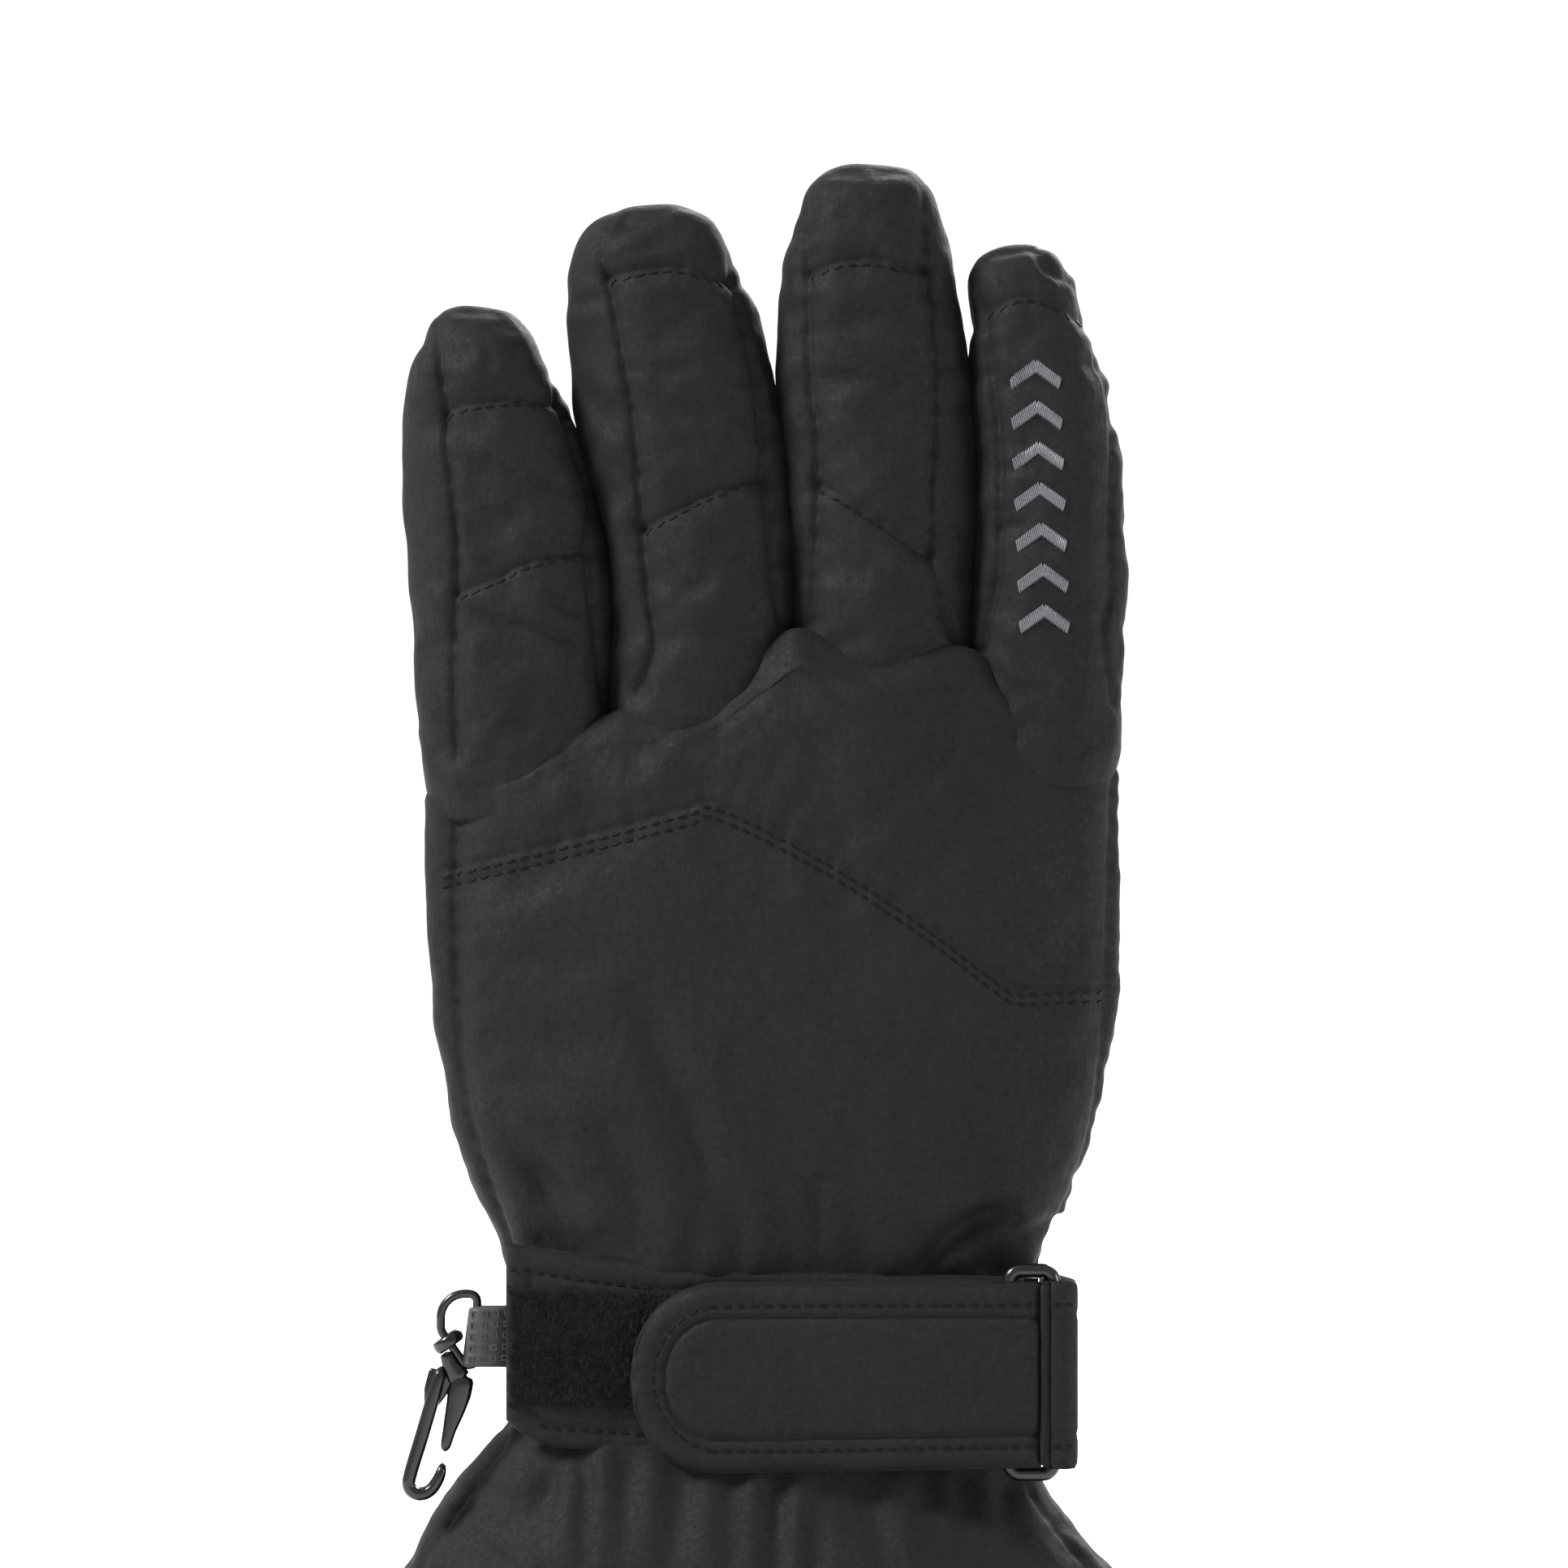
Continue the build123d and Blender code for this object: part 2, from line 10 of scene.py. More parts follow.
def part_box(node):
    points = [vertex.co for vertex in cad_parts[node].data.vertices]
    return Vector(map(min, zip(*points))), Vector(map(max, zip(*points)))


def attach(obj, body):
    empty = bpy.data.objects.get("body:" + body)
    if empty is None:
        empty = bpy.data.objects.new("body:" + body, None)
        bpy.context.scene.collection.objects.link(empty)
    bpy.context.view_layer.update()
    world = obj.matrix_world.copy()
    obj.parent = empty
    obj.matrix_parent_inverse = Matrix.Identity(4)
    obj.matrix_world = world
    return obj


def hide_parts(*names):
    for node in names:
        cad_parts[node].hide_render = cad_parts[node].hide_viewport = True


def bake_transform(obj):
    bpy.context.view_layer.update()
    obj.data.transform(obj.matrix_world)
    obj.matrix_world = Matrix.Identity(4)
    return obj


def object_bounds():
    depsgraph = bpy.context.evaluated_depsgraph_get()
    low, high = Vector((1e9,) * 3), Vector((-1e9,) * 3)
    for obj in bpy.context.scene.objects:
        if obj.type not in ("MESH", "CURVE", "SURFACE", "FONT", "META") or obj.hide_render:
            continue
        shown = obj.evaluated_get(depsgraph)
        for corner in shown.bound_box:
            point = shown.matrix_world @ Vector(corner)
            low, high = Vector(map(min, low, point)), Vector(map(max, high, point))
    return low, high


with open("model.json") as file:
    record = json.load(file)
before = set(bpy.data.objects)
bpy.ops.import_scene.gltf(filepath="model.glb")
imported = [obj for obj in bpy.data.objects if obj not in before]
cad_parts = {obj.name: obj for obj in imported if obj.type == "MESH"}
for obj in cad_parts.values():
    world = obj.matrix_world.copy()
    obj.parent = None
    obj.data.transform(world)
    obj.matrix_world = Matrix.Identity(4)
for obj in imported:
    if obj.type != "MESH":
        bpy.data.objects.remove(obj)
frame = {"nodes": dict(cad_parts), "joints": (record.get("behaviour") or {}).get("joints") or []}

cad_low, cad_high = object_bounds()

# Studio: the glove stands on its hem on a pale floor, under broad soft light, and the camera
# is level with the middle of the hand, straight in front of its back.
FIELD = 0.28
LENS = 150.0
SENSOR = 36.0
VIEW_X = 0.00305
VIEW_Z = 0.1833

camera = bpy.data.objects.new("camera", bpy.data.cameras.new("camera"))
bpy.context.scene.collection.objects.link(camera)
camera.data.lens = LENS
camera.data.sensor_width = SENSOR
camera.data.clip_start = 0.05
camera.location = (VIEW_X, -FIELD * LENS / SENSOR, VIEW_Z)
camera.rotation_euler = (math.pi / 2, 0, 0)
bpy.context.scene.camera = camera
bpy.context.scene.view_settings.view_transform = "Standard"

world = bpy.data.worlds.new("studio")
world.use_nodes = True
world.node_tree.nodes["Background"].inputs["Color"].default_value = (1.0, 1.0, 1.0, 1.0)
world.node_tree.nodes["Background"].inputs["Strength"].default_value = 1.08
bpy.context.scene.world = world


def softbox(name, place, aim, size, power):
    lamp = bpy.data.objects.new(name, bpy.data.lights.new(name, "AREA"))
    bpy.context.scene.collection.objects.link(lamp)
    lamp.data.size = size
    lamp.data.energy = power
    lamp.location = place
    lamp.rotation_euler = (Vector(aim) - Vector(place)).to_track_quat("-Z", "Y").to_euler()


middle_of_glove = (cad_low + cad_high) / 2
softbox("key_light", (-1.25, -0.55, 1.35), middle_of_glove, 0.4, 110)
softbox("fill_light", (1.4, -0.45, 0.35), middle_of_glove, 0.6, 22)
softbox("back_light", (0.4, 1.2, 1.0), middle_of_glove, 0.9, 45)


class Link:
    """A shader socket that arithmetic can be written on."""

    def __init__(self, tree, socket=None):
        self.tree = tree
        self.socket = socket

    def node(self, kind, settings=None, inputs=None, out=0):
        made = self.tree.nodes.new("ShaderNode" + kind)
        for key, value in (settings or {}).items():
            if key == "stops":
                for stop, (place, colour) in zip(made.color_ramp.elements, value):
                    stop.position = place
                    stop.color = (*colour, 1)
            else:
                setattr(made, key, value)
        for key, value in (inputs or {}).items():
            if isinstance(value, Link):
                self.tree.links.new(value.socket, made.inputs[key])
            else:
                made.inputs[key].default_value = value
        return Link(self.tree, made.outputs[out])

    def maths(self, operation, first, second):
        return self.node("Math", {"operation": operation}, {0: first, 1: second})

    def __add__(self, other):
        return self.maths("ADD", self, other)

    def __sub__(self, other):
        return self.maths("SUBTRACT", self, other)

    def __rsub__(self, other):
        return self.maths("SUBTRACT", other, self)

    def __mul__(self, other):
        return self.maths("MULTIPLY", self, other)

    __radd__ = __add__
    __rmul__ = __mul__

    def mix(self, low, high):
        """The colour low where this link is 0 and high where it is 1."""
        settings = {"data_type": "RGBA"}
        return self.node("Mix", settings, {0: self, 6: (*low, 1), 7: (*high, 1)}, out=2)


def finish_of(name, build, **fixed):
    """A material: build(place) gives its varying inputs, and fixed ones sit on the shader."""
    made = bpy.data.materials.new(name)
    made.use_nodes = True
    tree = made.node_tree
    shader = tree.nodes["Principled BSDF"]
    start = Link(tree)
    place = start.node("TexCoord", out=3)
    for socket, value in build(place).items():
        tree.links.new(value.socket, shader.inputs[socket])
    for socket, value in fixed.items():
        shader.inputs[socket.replace("_", " ")].default_value = value
    return made


def noise(place, scale, detail=2.0, stretch=(1, 1, 1)):
    moved = place.node("Mapping", None, {0: place, "Scale": stretch})
    return place.node("TexNoise", None, {"Vector": moved, "Scale": scale, "Detail": detail})


def bump(height, strength, distance, under=None):
    inputs = {"Height": height, "Strength": strength, "Distance": distance}
    if under is not None:
        inputs["Normal"] = under
    return height.node("Bump", None, inputs)


floor_mesh = bpy.data.meshes.new("floor")
floor_mesh.from_pydata([(-5, -5, 0), (5, -5, 0), (5, 5, 0), (-5, 5, 0)], [], [(0, 1, 2, 3)])
floor = bpy.data.objects.new("floor", floor_mesh)
bpy.context.scene.collection.objects.link(floor)


def floor_look(place):
    cloudy = noise(place, 3.0)
    return {"Base Color": cloudy.mix((0.95, 0.95, 0.95), (0.98, 0.98, 0.98))}


floor_mesh.materials.append(finish_of("pale_floor", floor_look, Roughness=0.9))


# Shell cloth: a fine stretch twill in black polyester, with a dull sheen. Diagonal threads
# 0.6 mm apart show as a faint grain, and rubbed places are a little lighter.
TWILL_DARK = (0.0010, 0.00098, 0.00115)
TWILL_LIGHT = (0.0060, 0.0058, 0.0064)
THREADS_PER_M = 1700.0


def twill_look(place, dark=TWILL_DARK, light=TWILL_LIGHT):
    grain = noise(place, THREADS_PER_M, 1.0, (1.0, 1.0, 0.45))
    across = noise(place, THREADS_PER_M * 0.8, 1.0, (0.45, 1.0, 1.0))
    threads = (grain + across) * 0.5
    rubbed = noise(place, 38.0, 4.0)
    creases = noise(place, 210.0, 3.0, (1.0, 1.0, 0.6))
    tone = threads * 0.75 + rubbed * 0.45 - 0.1
    soft = bump(creases, 0.35, 0.0016)
    return {
        "Base Color": tone.mix(dark, light),
        "Roughness": 0.9 - threads * 0.35,
        "Normal": bump(threads, 0.35, 0.00022, soft),
    }


twill = finish_of(
    "shell_twill", twill_look, Sheen_Weight=0.01, Sheen_Roughness=0.35, Specular_IOR_Level=0.08
)

MM = 0.001


def new_piece(name, points, faces, finish):
    """An object from points in millimetres."""
    mesh = bpy.data.meshes.new(name)
    mesh.from_pydata((np.asarray(points, float) * MM).tolist(), [], [tuple(f) for f in faces])
    mesh.update()
    piece = bpy.data.objects.new(name, mesh)
    bpy.context.scene.collection.objects.link(piece)
    mesh.materials.append(finish)
    mesh.shade_smooth()
    return piece


def smooth_rows(stations, step):
    """Rows about a step apart, on one smooth curve through the stations."""
    fixed = np.array(stations, float)
    ends = np.vstack([2 * fixed[0] - fixed[1], fixed, 2 * fixed[-1] - fixed[-2]])
    rows = []
    for i in range(len(fixed) - 1):
        before, here, there, after = ends[i : i + 4]
        count = max(1, round(float(np.linalg.norm((there - here)[:3])) / step))
        t = (np.arange(count) / count)[:, None]
        slope = (there - before) * t
        bend = (2 * before - 5 * here + 4 * there - after) * t**2
        twist = (3 * here - before - 3 * there + after) * t**3
        rows.append(here + 0.5 * (slope + bend + twist))
    rows.append(fixed[-1:])
    return np.vstack(rows)


def level_ring(row, count, square):
    """Evenly spaced points round one level of a tube: (height, left, right, back, front)."""
    height, left, right, back, front = row
    angle = np.linspace(0, 2 * math.pi, 721)
    c = np.cos(angle)
    s = np.sin(angle)
    x = (left + right) / 2 + (right - left) / 2 * np.sign(c) * np.abs(c) ** (2 / square)
    y = (back + front) / 2 + (front - back) / 2 * np.sign(s) * np.abs(s) ** (2 / square)
    run = np.concatenate([[0], np.cumsum(np.hypot(np.diff(x), np.diff(y)))])
    even = np.linspace(0, run[-1], count, endpoint=False)
    return np.column_stack(
        [np.interp(even, run, x), np.interp(even, run, y), np.full(count, height)]
    )


def grid_faces(rows, count, closed=True):
    faces = []
    for i in range(rows - 1):
        for j in range(count if closed else count - 1):
            k = (j + 1) % count
            a = i * count
            b = a + count
            faces.append((a + j, a + k, b + k, b + j))
    return faces


def tube(name, rings, finish, close_low=True, close_high=True):
    """A skin through rings of points, with its ends closed."""
    rings = np.asarray(rings)
    rows, count = rings.shape[:2]
    points = list(rings.reshape(-1, 3))
    faces = grid_faces(rows, count)
    if close_low:
        points.append(rings[0].mean(0))
        faces += [(len(points) - 1, (j + 1) % count, j) for j in range(count)]
    if close_high:
        points.append(rings[-1].mean(0))
        last = (rows - 1) * count
        faces += [(len(points) - 1, last + j, last + (j + 1) % count) for j in range(count)]
    return new_piece(name, points, faces, finish)


def swap_mesh(piece, mesh):
    old = piece.data
    piece.modifiers.clear()
    piece.data = mesh
    bpy.data.meshes.remove(old)


def refine(piece, levels):
    """Subdivides a piece smoothly and keeps the result."""
    modifier = piece.modifiers.new("smooth", "SUBSURF")
    modifier.levels = levels
    graph = bpy.context.evaluated_depsgraph_get()
    swap_mesh(piece, bpy.data.meshes.new_from_object(piece.evaluated_get(graph)))


def points_of(piece):
    points = np.empty(len(piece.data.vertices) * 3)
    piece.data.vertices.foreach_get("co", points)
    return points.reshape(-1, 3) / MM


def normals_of(piece):
    normals = np.empty(len(piece.data.vertices) * 3, np.float32)
    piece.data.vertex_normals.foreach_get("vector", normals)
    return normals.reshape(-1, 3).astype(float)


def skin_of(piece):
    """A piece's points in millimetres, and its normals."""
    return points_of(piece), normals_of(piece)


def move_points(piece, points):
    piece.data.vertices.foreach_set("co", (points * MM).ravel())
    piece.data.update()


def near_route(points, route):
    """How far each point is from a route, seen from the back, and how far along it."""
    flat = points[:, [0, 2]]
    nearest = np.full(len(flat), 1e9)
    place = np.zeros(len(flat))
    run = 0.0
    for start, end in zip(route[:-1], route[1:]):
        start = np.asarray(start, float)
        step = np.asarray(end, float) - start
        length = float(np.hypot(*step))
        t = np.clip((flat - start) @ step / length**2, 0, 1)
        gap = np.linalg.norm(flat - start - t[:, None] * step, axis=1)
        closer = gap < nearest
        nearest[closer] = gap[closer]
        place[closer] = run + t[closer] * length
        run += length
    return nearest, place, run


def press(points, normals, route, depth, width, side=-1, fold=False, share=1.0):
    """Pulls cloth in along a seam, or along a fold that fades at both ends."""
    if len(route) > 2:
        route = smooth_rows(route, 2.0)
    gap, place, run = near_route(points, route)
    pull = depth * np.exp(-((gap / width) ** 2))
    if fold:
        pull *= np.sin(math.pi * np.clip(place / run, 0, 1)) ** 0.6
        pull -= 0.35 * depth * np.exp(-((gap / (2.6 * width)) ** 2))
    else:
        pull *= 1 + 0.15 * np.sin(place * 1.1) * np.sin(place * 0.43 + 1)
        pull -= 0.05 * np.sin(place * 1.35 + np.sin(place * 0.4)) * np.exp(-gap / 3.2)
    pull *= np.clip(0.5 + side * points[:, 1] / 4, 0, 1)
    points -= normals * (pull * share)[:, None]


def sew(points, normals, seams, grooves, share=1.0):
    """Presses seams in on the back and the palm alike: each groove is a depth and a width."""
    for seam in seams:
        for side in (-1, 1):
            for depth, width in grooves:
                press(points, normals, seam, depth, width, side, share=share)


def uneven(points, seed, wave, stretch=(1, 1, 1)):
    """A smooth uneven field, about -1 to 1, that the cloth's slight ripples follow."""
    draw = np.random.default_rng(seed)
    field = np.zeros(len(points))
    for _ in range(14):
        heading = draw.normal(size=3) * np.array(stretch)
        heading /= np.linalg.norm(heading) * wave * draw.uniform(0.7, 1.6)
        field += np.sin(2 * math.pi * (points @ heading) + draw.uniform(0, 6.3))
    return field / 5.0


# How much of the swelling is sideways: little, because the side strips hold their line.
SIDEWAYS = 0.3
# How far round a seam, and up from the skin's two ends, the cloth is held still.
HELD_REACH = 1.6
HELD_LOW = 6
HELD_HIGH = 1.5


def inflate(piece, seams, slack, cap, pressure=4.0, frames=16):
    """Fills a cloth skin: it swells between its seams, and its spare cloth wrinkles."""
    before = points_of(piece)
    held = piece.vertex_groups.new(name="held")
    weight = np.zeros(len(before))
    for route in seams:
        gap = near_route(before, route)[0]
        weight = np.maximum(weight, np.exp(-((gap / HELD_REACH) ** 2)))
    low, high = before[:, 2].min(), before[:, 2].max()
    weight[(before[:, 2] < low + HELD_LOW) | (before[:, 2] > high - HELD_HIGH)] = 1.0
    for i, value in enumerate(weight):
        held.add([i], float(value), "REPLACE")
    cloth = piece.modifiers.new("cloth", "CLOTH")
    cloth.settings.quality = 4
    cloth.settings.mass = 0.15
    cloth.settings.tension_stiffness = 12
    cloth.settings.compression_stiffness = 12
    cloth.settings.bending_stiffness = 0.02
    cloth.settings.vertex_group_mass = "held"
    cloth.settings.pin_stiffness = 1.0
    cloth.settings.use_pressure = True
    cloth.settings.uniform_pressure_force = pressure
    cloth.settings.shrink_min = -slack
    cloth.settings.effector_weights.gravity = 0
    cloth.collision_settings.use_collision = False
    cloth.point_cache.frame_end = frames
    for step in range(1, frames + 1):
        bpy.context.scene.frame_set(step)
    graph = bpy.context.evaluated_depsgraph_get()
    blown = piece.evaluated_get(graph).to_mesh()
    after = np.empty(len(before) * 3)
    blown.vertices.foreach_get("co", after)
    after = after.reshape(-1, 3) / MM
    piece.modifiers.clear()
    piece.vertex_groups.clear()
    bpy.context.scene.frame_set(1)
    shift = (after - before) * np.array([SIDEWAYS, 1.0, 1.0])
    reach = np.linalg.norm(shift, axis=1, keepdims=True)
    shift *= np.minimum(1.0, cap / np.maximum(reach, 1e-6))
    move_points(piece, before + shift * (1 - weight[:, None]))


def part_of(piece, name, chosen):
    """The chosen faces of a piece as a piece of their own, shaded as in the whole."""
    mesh = piece.data
    normals = normals_of(piece)
    faces = [tuple(f.vertices) for f, keep in zip(mesh.polygons, chosen) if keep]
    used = sorted({i for f in faces for i in f})
    renumber = {old: new for new, old in enumerate(used)}
    points = points_of(piece)[used]
    faces = [[renumber[i] for i in f] for f in faces]
    made = new_piece(name, points, faces, mesh.materials[0])
    made.data.normals_split_custom_set_from_vertices(normals[used].tolist())
    return made


def face_heights(piece):
    centres = np.empty(len(piece.data.polygons) * 3)
    piece.data.polygons.foreach_get("center", centres)
    return centres.reshape(-1, 3)[:, 2] / MM


# Thread: black polyester topstitching, two plies twisted, sunk a little in the cloth. Each
# stitch is its own short bead of thread, 2.4 mm from the next one.
STITCH = 2.4
STITCH_LONG = 1.75
STITCH_WIDE = 0.5
STITCH_LIFT = 0.06
NEEDLE_FROM = 0.09


def thread_look(place, dark=(0.001, 0.001, 0.001), light=(0.005, 0.005, 0.0053)):
    ply = noise(place, 2600.0, 1.0, (1, 1, 2))
    return {
        "Base Color": ply.mix(dark, light),
        "Roughness": 0.62 - ply * 0.25,
        "Normal": bump(ply, 0.5, 0.0001),
    }


thread = finish_of("black_thread", thread_look, Specular_IOR_Level=0.04)


def surface_of(*pieces):
    """What the stitches of these pieces are laid on."""
    points = []
    faces = []
    for piece in pieces:
        faces += [[len(points) + i for i in f.vertices] for f in piece.data.polygons]
        points += [v.co.copy() for v in piece.data.vertices]
    return BVHTree.FromPolygons(points, faces)


def drop_on(surface, x, z, side=-1):
    """Where a needle straight through the back (or the palm) meets the cloth, in mm."""
    needle = Vector((x * MM, side * NEEDLE_FROM, z * MM))
    hit, normal, _, _ = surface.ray_cast(needle, Vector((0, -side, 0)))
    if hit is None:
        return None, None
    if normal.y * side < 0:
        normal = -normal
    return np.array(hit) / MM, np.array(normal)


def lie_flat(heading, normal):
    """A heading turned to lie in the cloth."""
    heading = heading - normal * (heading @ normal)
    return heading / np.linalg.norm(heading)


def bead(centre, heading, normal, length, width, sides=6):
    """One stitch: a short rounded bead lying on the cloth."""
    cross = np.cross(normal, heading)
    points = []
    for along, swell in ((-0.5, 0.3), (-0.32, 0.85), (0, 1.0), (0.32, 0.85), (0.5, 0.3)):
        for k in range(sides):
            turn = 2 * math.pi * k / sides
            out = cross * math.cos(turn) + normal * (math.sin(turn) * 0.7 + 0.1)
            points.append(centre + heading * (along * length) + out * (swell * width / 2))
    faces = grid_faces(5, sides)
    faces.append(tuple(range(sides))[::-1])
    faces.append(tuple(range(4 * sides, 5 * sides)))
    return points, faces


def gather_beads(name, beads, finish):
    points = []
    faces = []
    for bead_points, bead_faces in beads:
        faces += [[len(points) + i for i in f] for f in bead_faces]
        points += bead_points
    return new_piece(name, points, faces, finish)


def stitches(name, routes, surface, side=-1, pitch=STITCH):
    """Rows of topstitching along routes over a surface."""
    beads = []
    for route in routes:
        fine = smooth_rows(route, 0.4)
        run = np.concatenate([[0], np.cumsum(np.linalg.norm(np.diff(fine, axis=0), axis=1))])
        for place in np.arange(pitch / 2, run[-1], pitch):
            x, z = (np.interp(place, run, fine[:, k]) for k in (0, 1))
            ahead = [np.interp(place + 0.5, run, fine[:, k]) for k in (0, 1)]
            behind = [np.interp(place - 0.5, run, fine[:, k]) for k in (0, 1)]
            centre, normal = drop_on(surface, x, z, side)
            if centre is None:
                continue
            heading = lie_flat(np.array([ahead[0] - behind[0], 0, ahead[1] - behind[1]]), normal)
            centre = centre + normal * STITCH_LIFT
            beads.append(bead(centre, heading, normal, STITCH_LONG, STITCH_WIDE))
    return gather_beads(name, beads, thread)


# Hand: the back and palm panels and the two long side panels, over padding and a waterproof
# insert. The sewn skin swells between its seams and gathers in above the wrist strap.
YOKE = [(-58, 167.8), (-33.8, 173.8), (-14.5, 178.9), (-8.6, 180), (8, 171.9), (22.3, 163),
        (31.9, 156.1), (42, 148.4), (45, 147.5), (62, 147.7)]
YOKE_ROWS = (1.3, 3.0)
LITTLE_SEAM = [(-61, 196), (-55.5, 200), (-54.8, 184.1), (-55.2, 166.7), (-55, 149.3),
               (-54.4, 134.8), (-53.2, 126), (-50.8, 117), (-47, 106), (-44.5, 98)]
INDEX_SEAM = [(61.5, 200), (61.9, 193), (61.2, 170), (60.4, 147), (59.6, 135), (58.2, 124),
              (55.6, 114), (51.5, 105), (48.4, 98)]
HAND_GUIDE_TOP = 206
CLOSING = 0.07
HAND_TOP = [(-66, 188.5), (-52, 190), (-43.4, 192.5), (-33.8, 197.3), (-27, 200.6), (-22.9, 200.5),
            (-14.5, 201.2), (-9.7, 203.1), (-4.9, 207), (2.5, 212.8), (5.1, 214), (7.8, 213.6),
            (13.8, 210.9), (22.5, 209.9), (31.2, 210.5), (36.3, 210.2), (38.7, 209.5), (44.2, 205.9),
            (50, 202.2), (55.8, 200), (66, 197)]
# Each level: height, left edge, right edge, back of hand, palm.
HAND_LEVELS = [(62, -44.2, 46.4, -14.6, 14.6), (80, -44.2, 46.6, -14.8, 14.8),
               (95, -44.9, 48.2, -15.4, 15.4), (100, -46.2, 50.4, -16.8, 16.2),
               (109, -49.2, 54.9, -18.2, 17.0), (120, -52.9, 58.3, -18.6, 17.4),
               (131, -56.1, 60.4, -18.4, 17.4), (150, -59, 62.4, -17.6, 17.0),
               (171, -60.3, 63, -16.8, 16.6), (188, -60.9, 62.9, -15.6, 15.8),
               (200, -61, 62.6, -14.2, 15.0), (212, -61.6, 62.4, -13.2, 14.2)]
# Each fold: depth, width and route, of cloth drawn in above the strap or creased by the hand.
HAND_FOLDS = [
    (2.9, 3.2, [(-31.9, 99), (-38.6, 112.3), (-49.6, 125.4)]),
    (2.3, 3.8, [(-6.4, 97), (-11.2, 118.1), (-24.2, 148.5)]),
    (1.6, 2.4, [(9.1, 96), (8.8, 104), (8.8, 115)]),
    (3.4, 2.5, [(25.1, 95), (34.4, 104.7), (43.9, 109.6)]),
    (1.2, 2.0, [(37.6, 96), (46.7, 103.8), (53.1, 105.8)]),
    (1.3, 3.4, [(-20, 98), (-22, 110), (-30, 124)]),
    (0.6, 5.0, [(43.9, 193), (52, 187), (58.4, 180)]),
    (0.6, 5.5, [(10, 150), (28, 136), (46, 128)]),
    (0.7, 5.0, [(-48, 150), (-40, 141), (-26, 136)]),
]

top_x = [x for x, _ in HAND_TOP]
top_z = [z for _, z in HAND_TOP]
hand_levels = np.array(HAND_LEVELS, float)
rings = []
wrist_z = HAND_LEVELS[0][0]
up_to_closing = np.linspace(0, 1 - CLOSING, 50)
over_the_top = 1 - CLOSING * np.cos(np.linspace(0.25, 1.45, 7))
for share in np.concatenate([up_to_closing, over_the_top]):
    guess = wrist_z + share * (HAND_GUIDE_TOP - wrist_z)
    row = [guess] + [np.interp(guess, hand_levels[:, 0], hand_levels[:, k]) for k in (1, 2, 3, 4)]
    level = level_ring(row, 112, 2.75)
    reach = np.interp(level[:, 0], top_x, top_z) - 5.0 * np.clip(level[:, 1] / 16, 0, 1)
    level[:, 2] = wrist_z + share * (reach - wrist_z)
    over = np.clip((share - 1 + CLOSING) / CLOSING, 0, 1)
    level[:, 1] *= 0.25 + 0.75 * math.sqrt(1 - over**2)
    level[:, 0] = 0.7 + (level[:, 0] - 0.7) * (1 - 0.045 * over)
    rings.append(level)
hand_skin = tube("hand_shell", rings, twill, close_low=False)
inflate(hand_skin, [YOKE, LITTLE_SEAM, INDEX_SEAM], 0.02, 1.6)
refine(hand_skin, 2)
points, normals = skin_of(hand_skin)
inside = np.clip((points[:, 2] - 96) / 6, 0, 1)
near_strap = np.exp(-np.clip(points[:, 2] - 97, 0, 99) / 9.0)
warped = points[:, 0] + 3.2 * np.sin(points[:, 0] / 15) + 1.8 * np.sin(points[:, 0] / 6.1 + 1)
gathers = np.cos(2 * math.pi * warped / 11.5) * near_strap * 1.0
ripples = uneven(points, 5, 34) * 0.55 + uneven(points, 6, 13, (1, 1, 0.5)) * 0.14
points += normals * ((gathers + ripples) * inside)[:, None]
for depth, width, route in HAND_FOLDS:
    press(points, normals, route, depth, width, fold=True)
sew(points, normals, (LITTLE_SEAM, INDEX_SEAM), ((0.9, 2.6), (0.7, 0.75)))
press(points, normals, YOKE, 0.55, 0.7)
press(points, normals, YOKE, -0.35, 2.4)
for start in range(2, len(HAND_TOP) - 2):
    press(points, normals, HAND_TOP[start : start + 2], 0.25, 1.4)
move_points(hand_skin, points)
hand_surface = surface_of(hand_skin)
rows = [[(x, z - drop) for x, z in YOKE[:-1]] + [(59.5, YOKE[-1][1] - drop)] for drop in YOKE_ROWS]
yoke_rows = stitches("yoke_topstitching", rows, hand_surface)
for piece in (hand_skin, yoke_rows):
    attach(piece, "hand")
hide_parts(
    "back_yoke", "back_lower", "palm_panel", "little_side_panel", "index_side_panel"
)


# Fingers: each has a back panel, two narrow side strips and a palm panel, sewn to puff out
# between the seams, and topstitched across above both joints. Two skins meet between them.
FINGER_HALF_DEPTH = 12.4
PRESSED = 1.15
TIP_DOME = 13.0
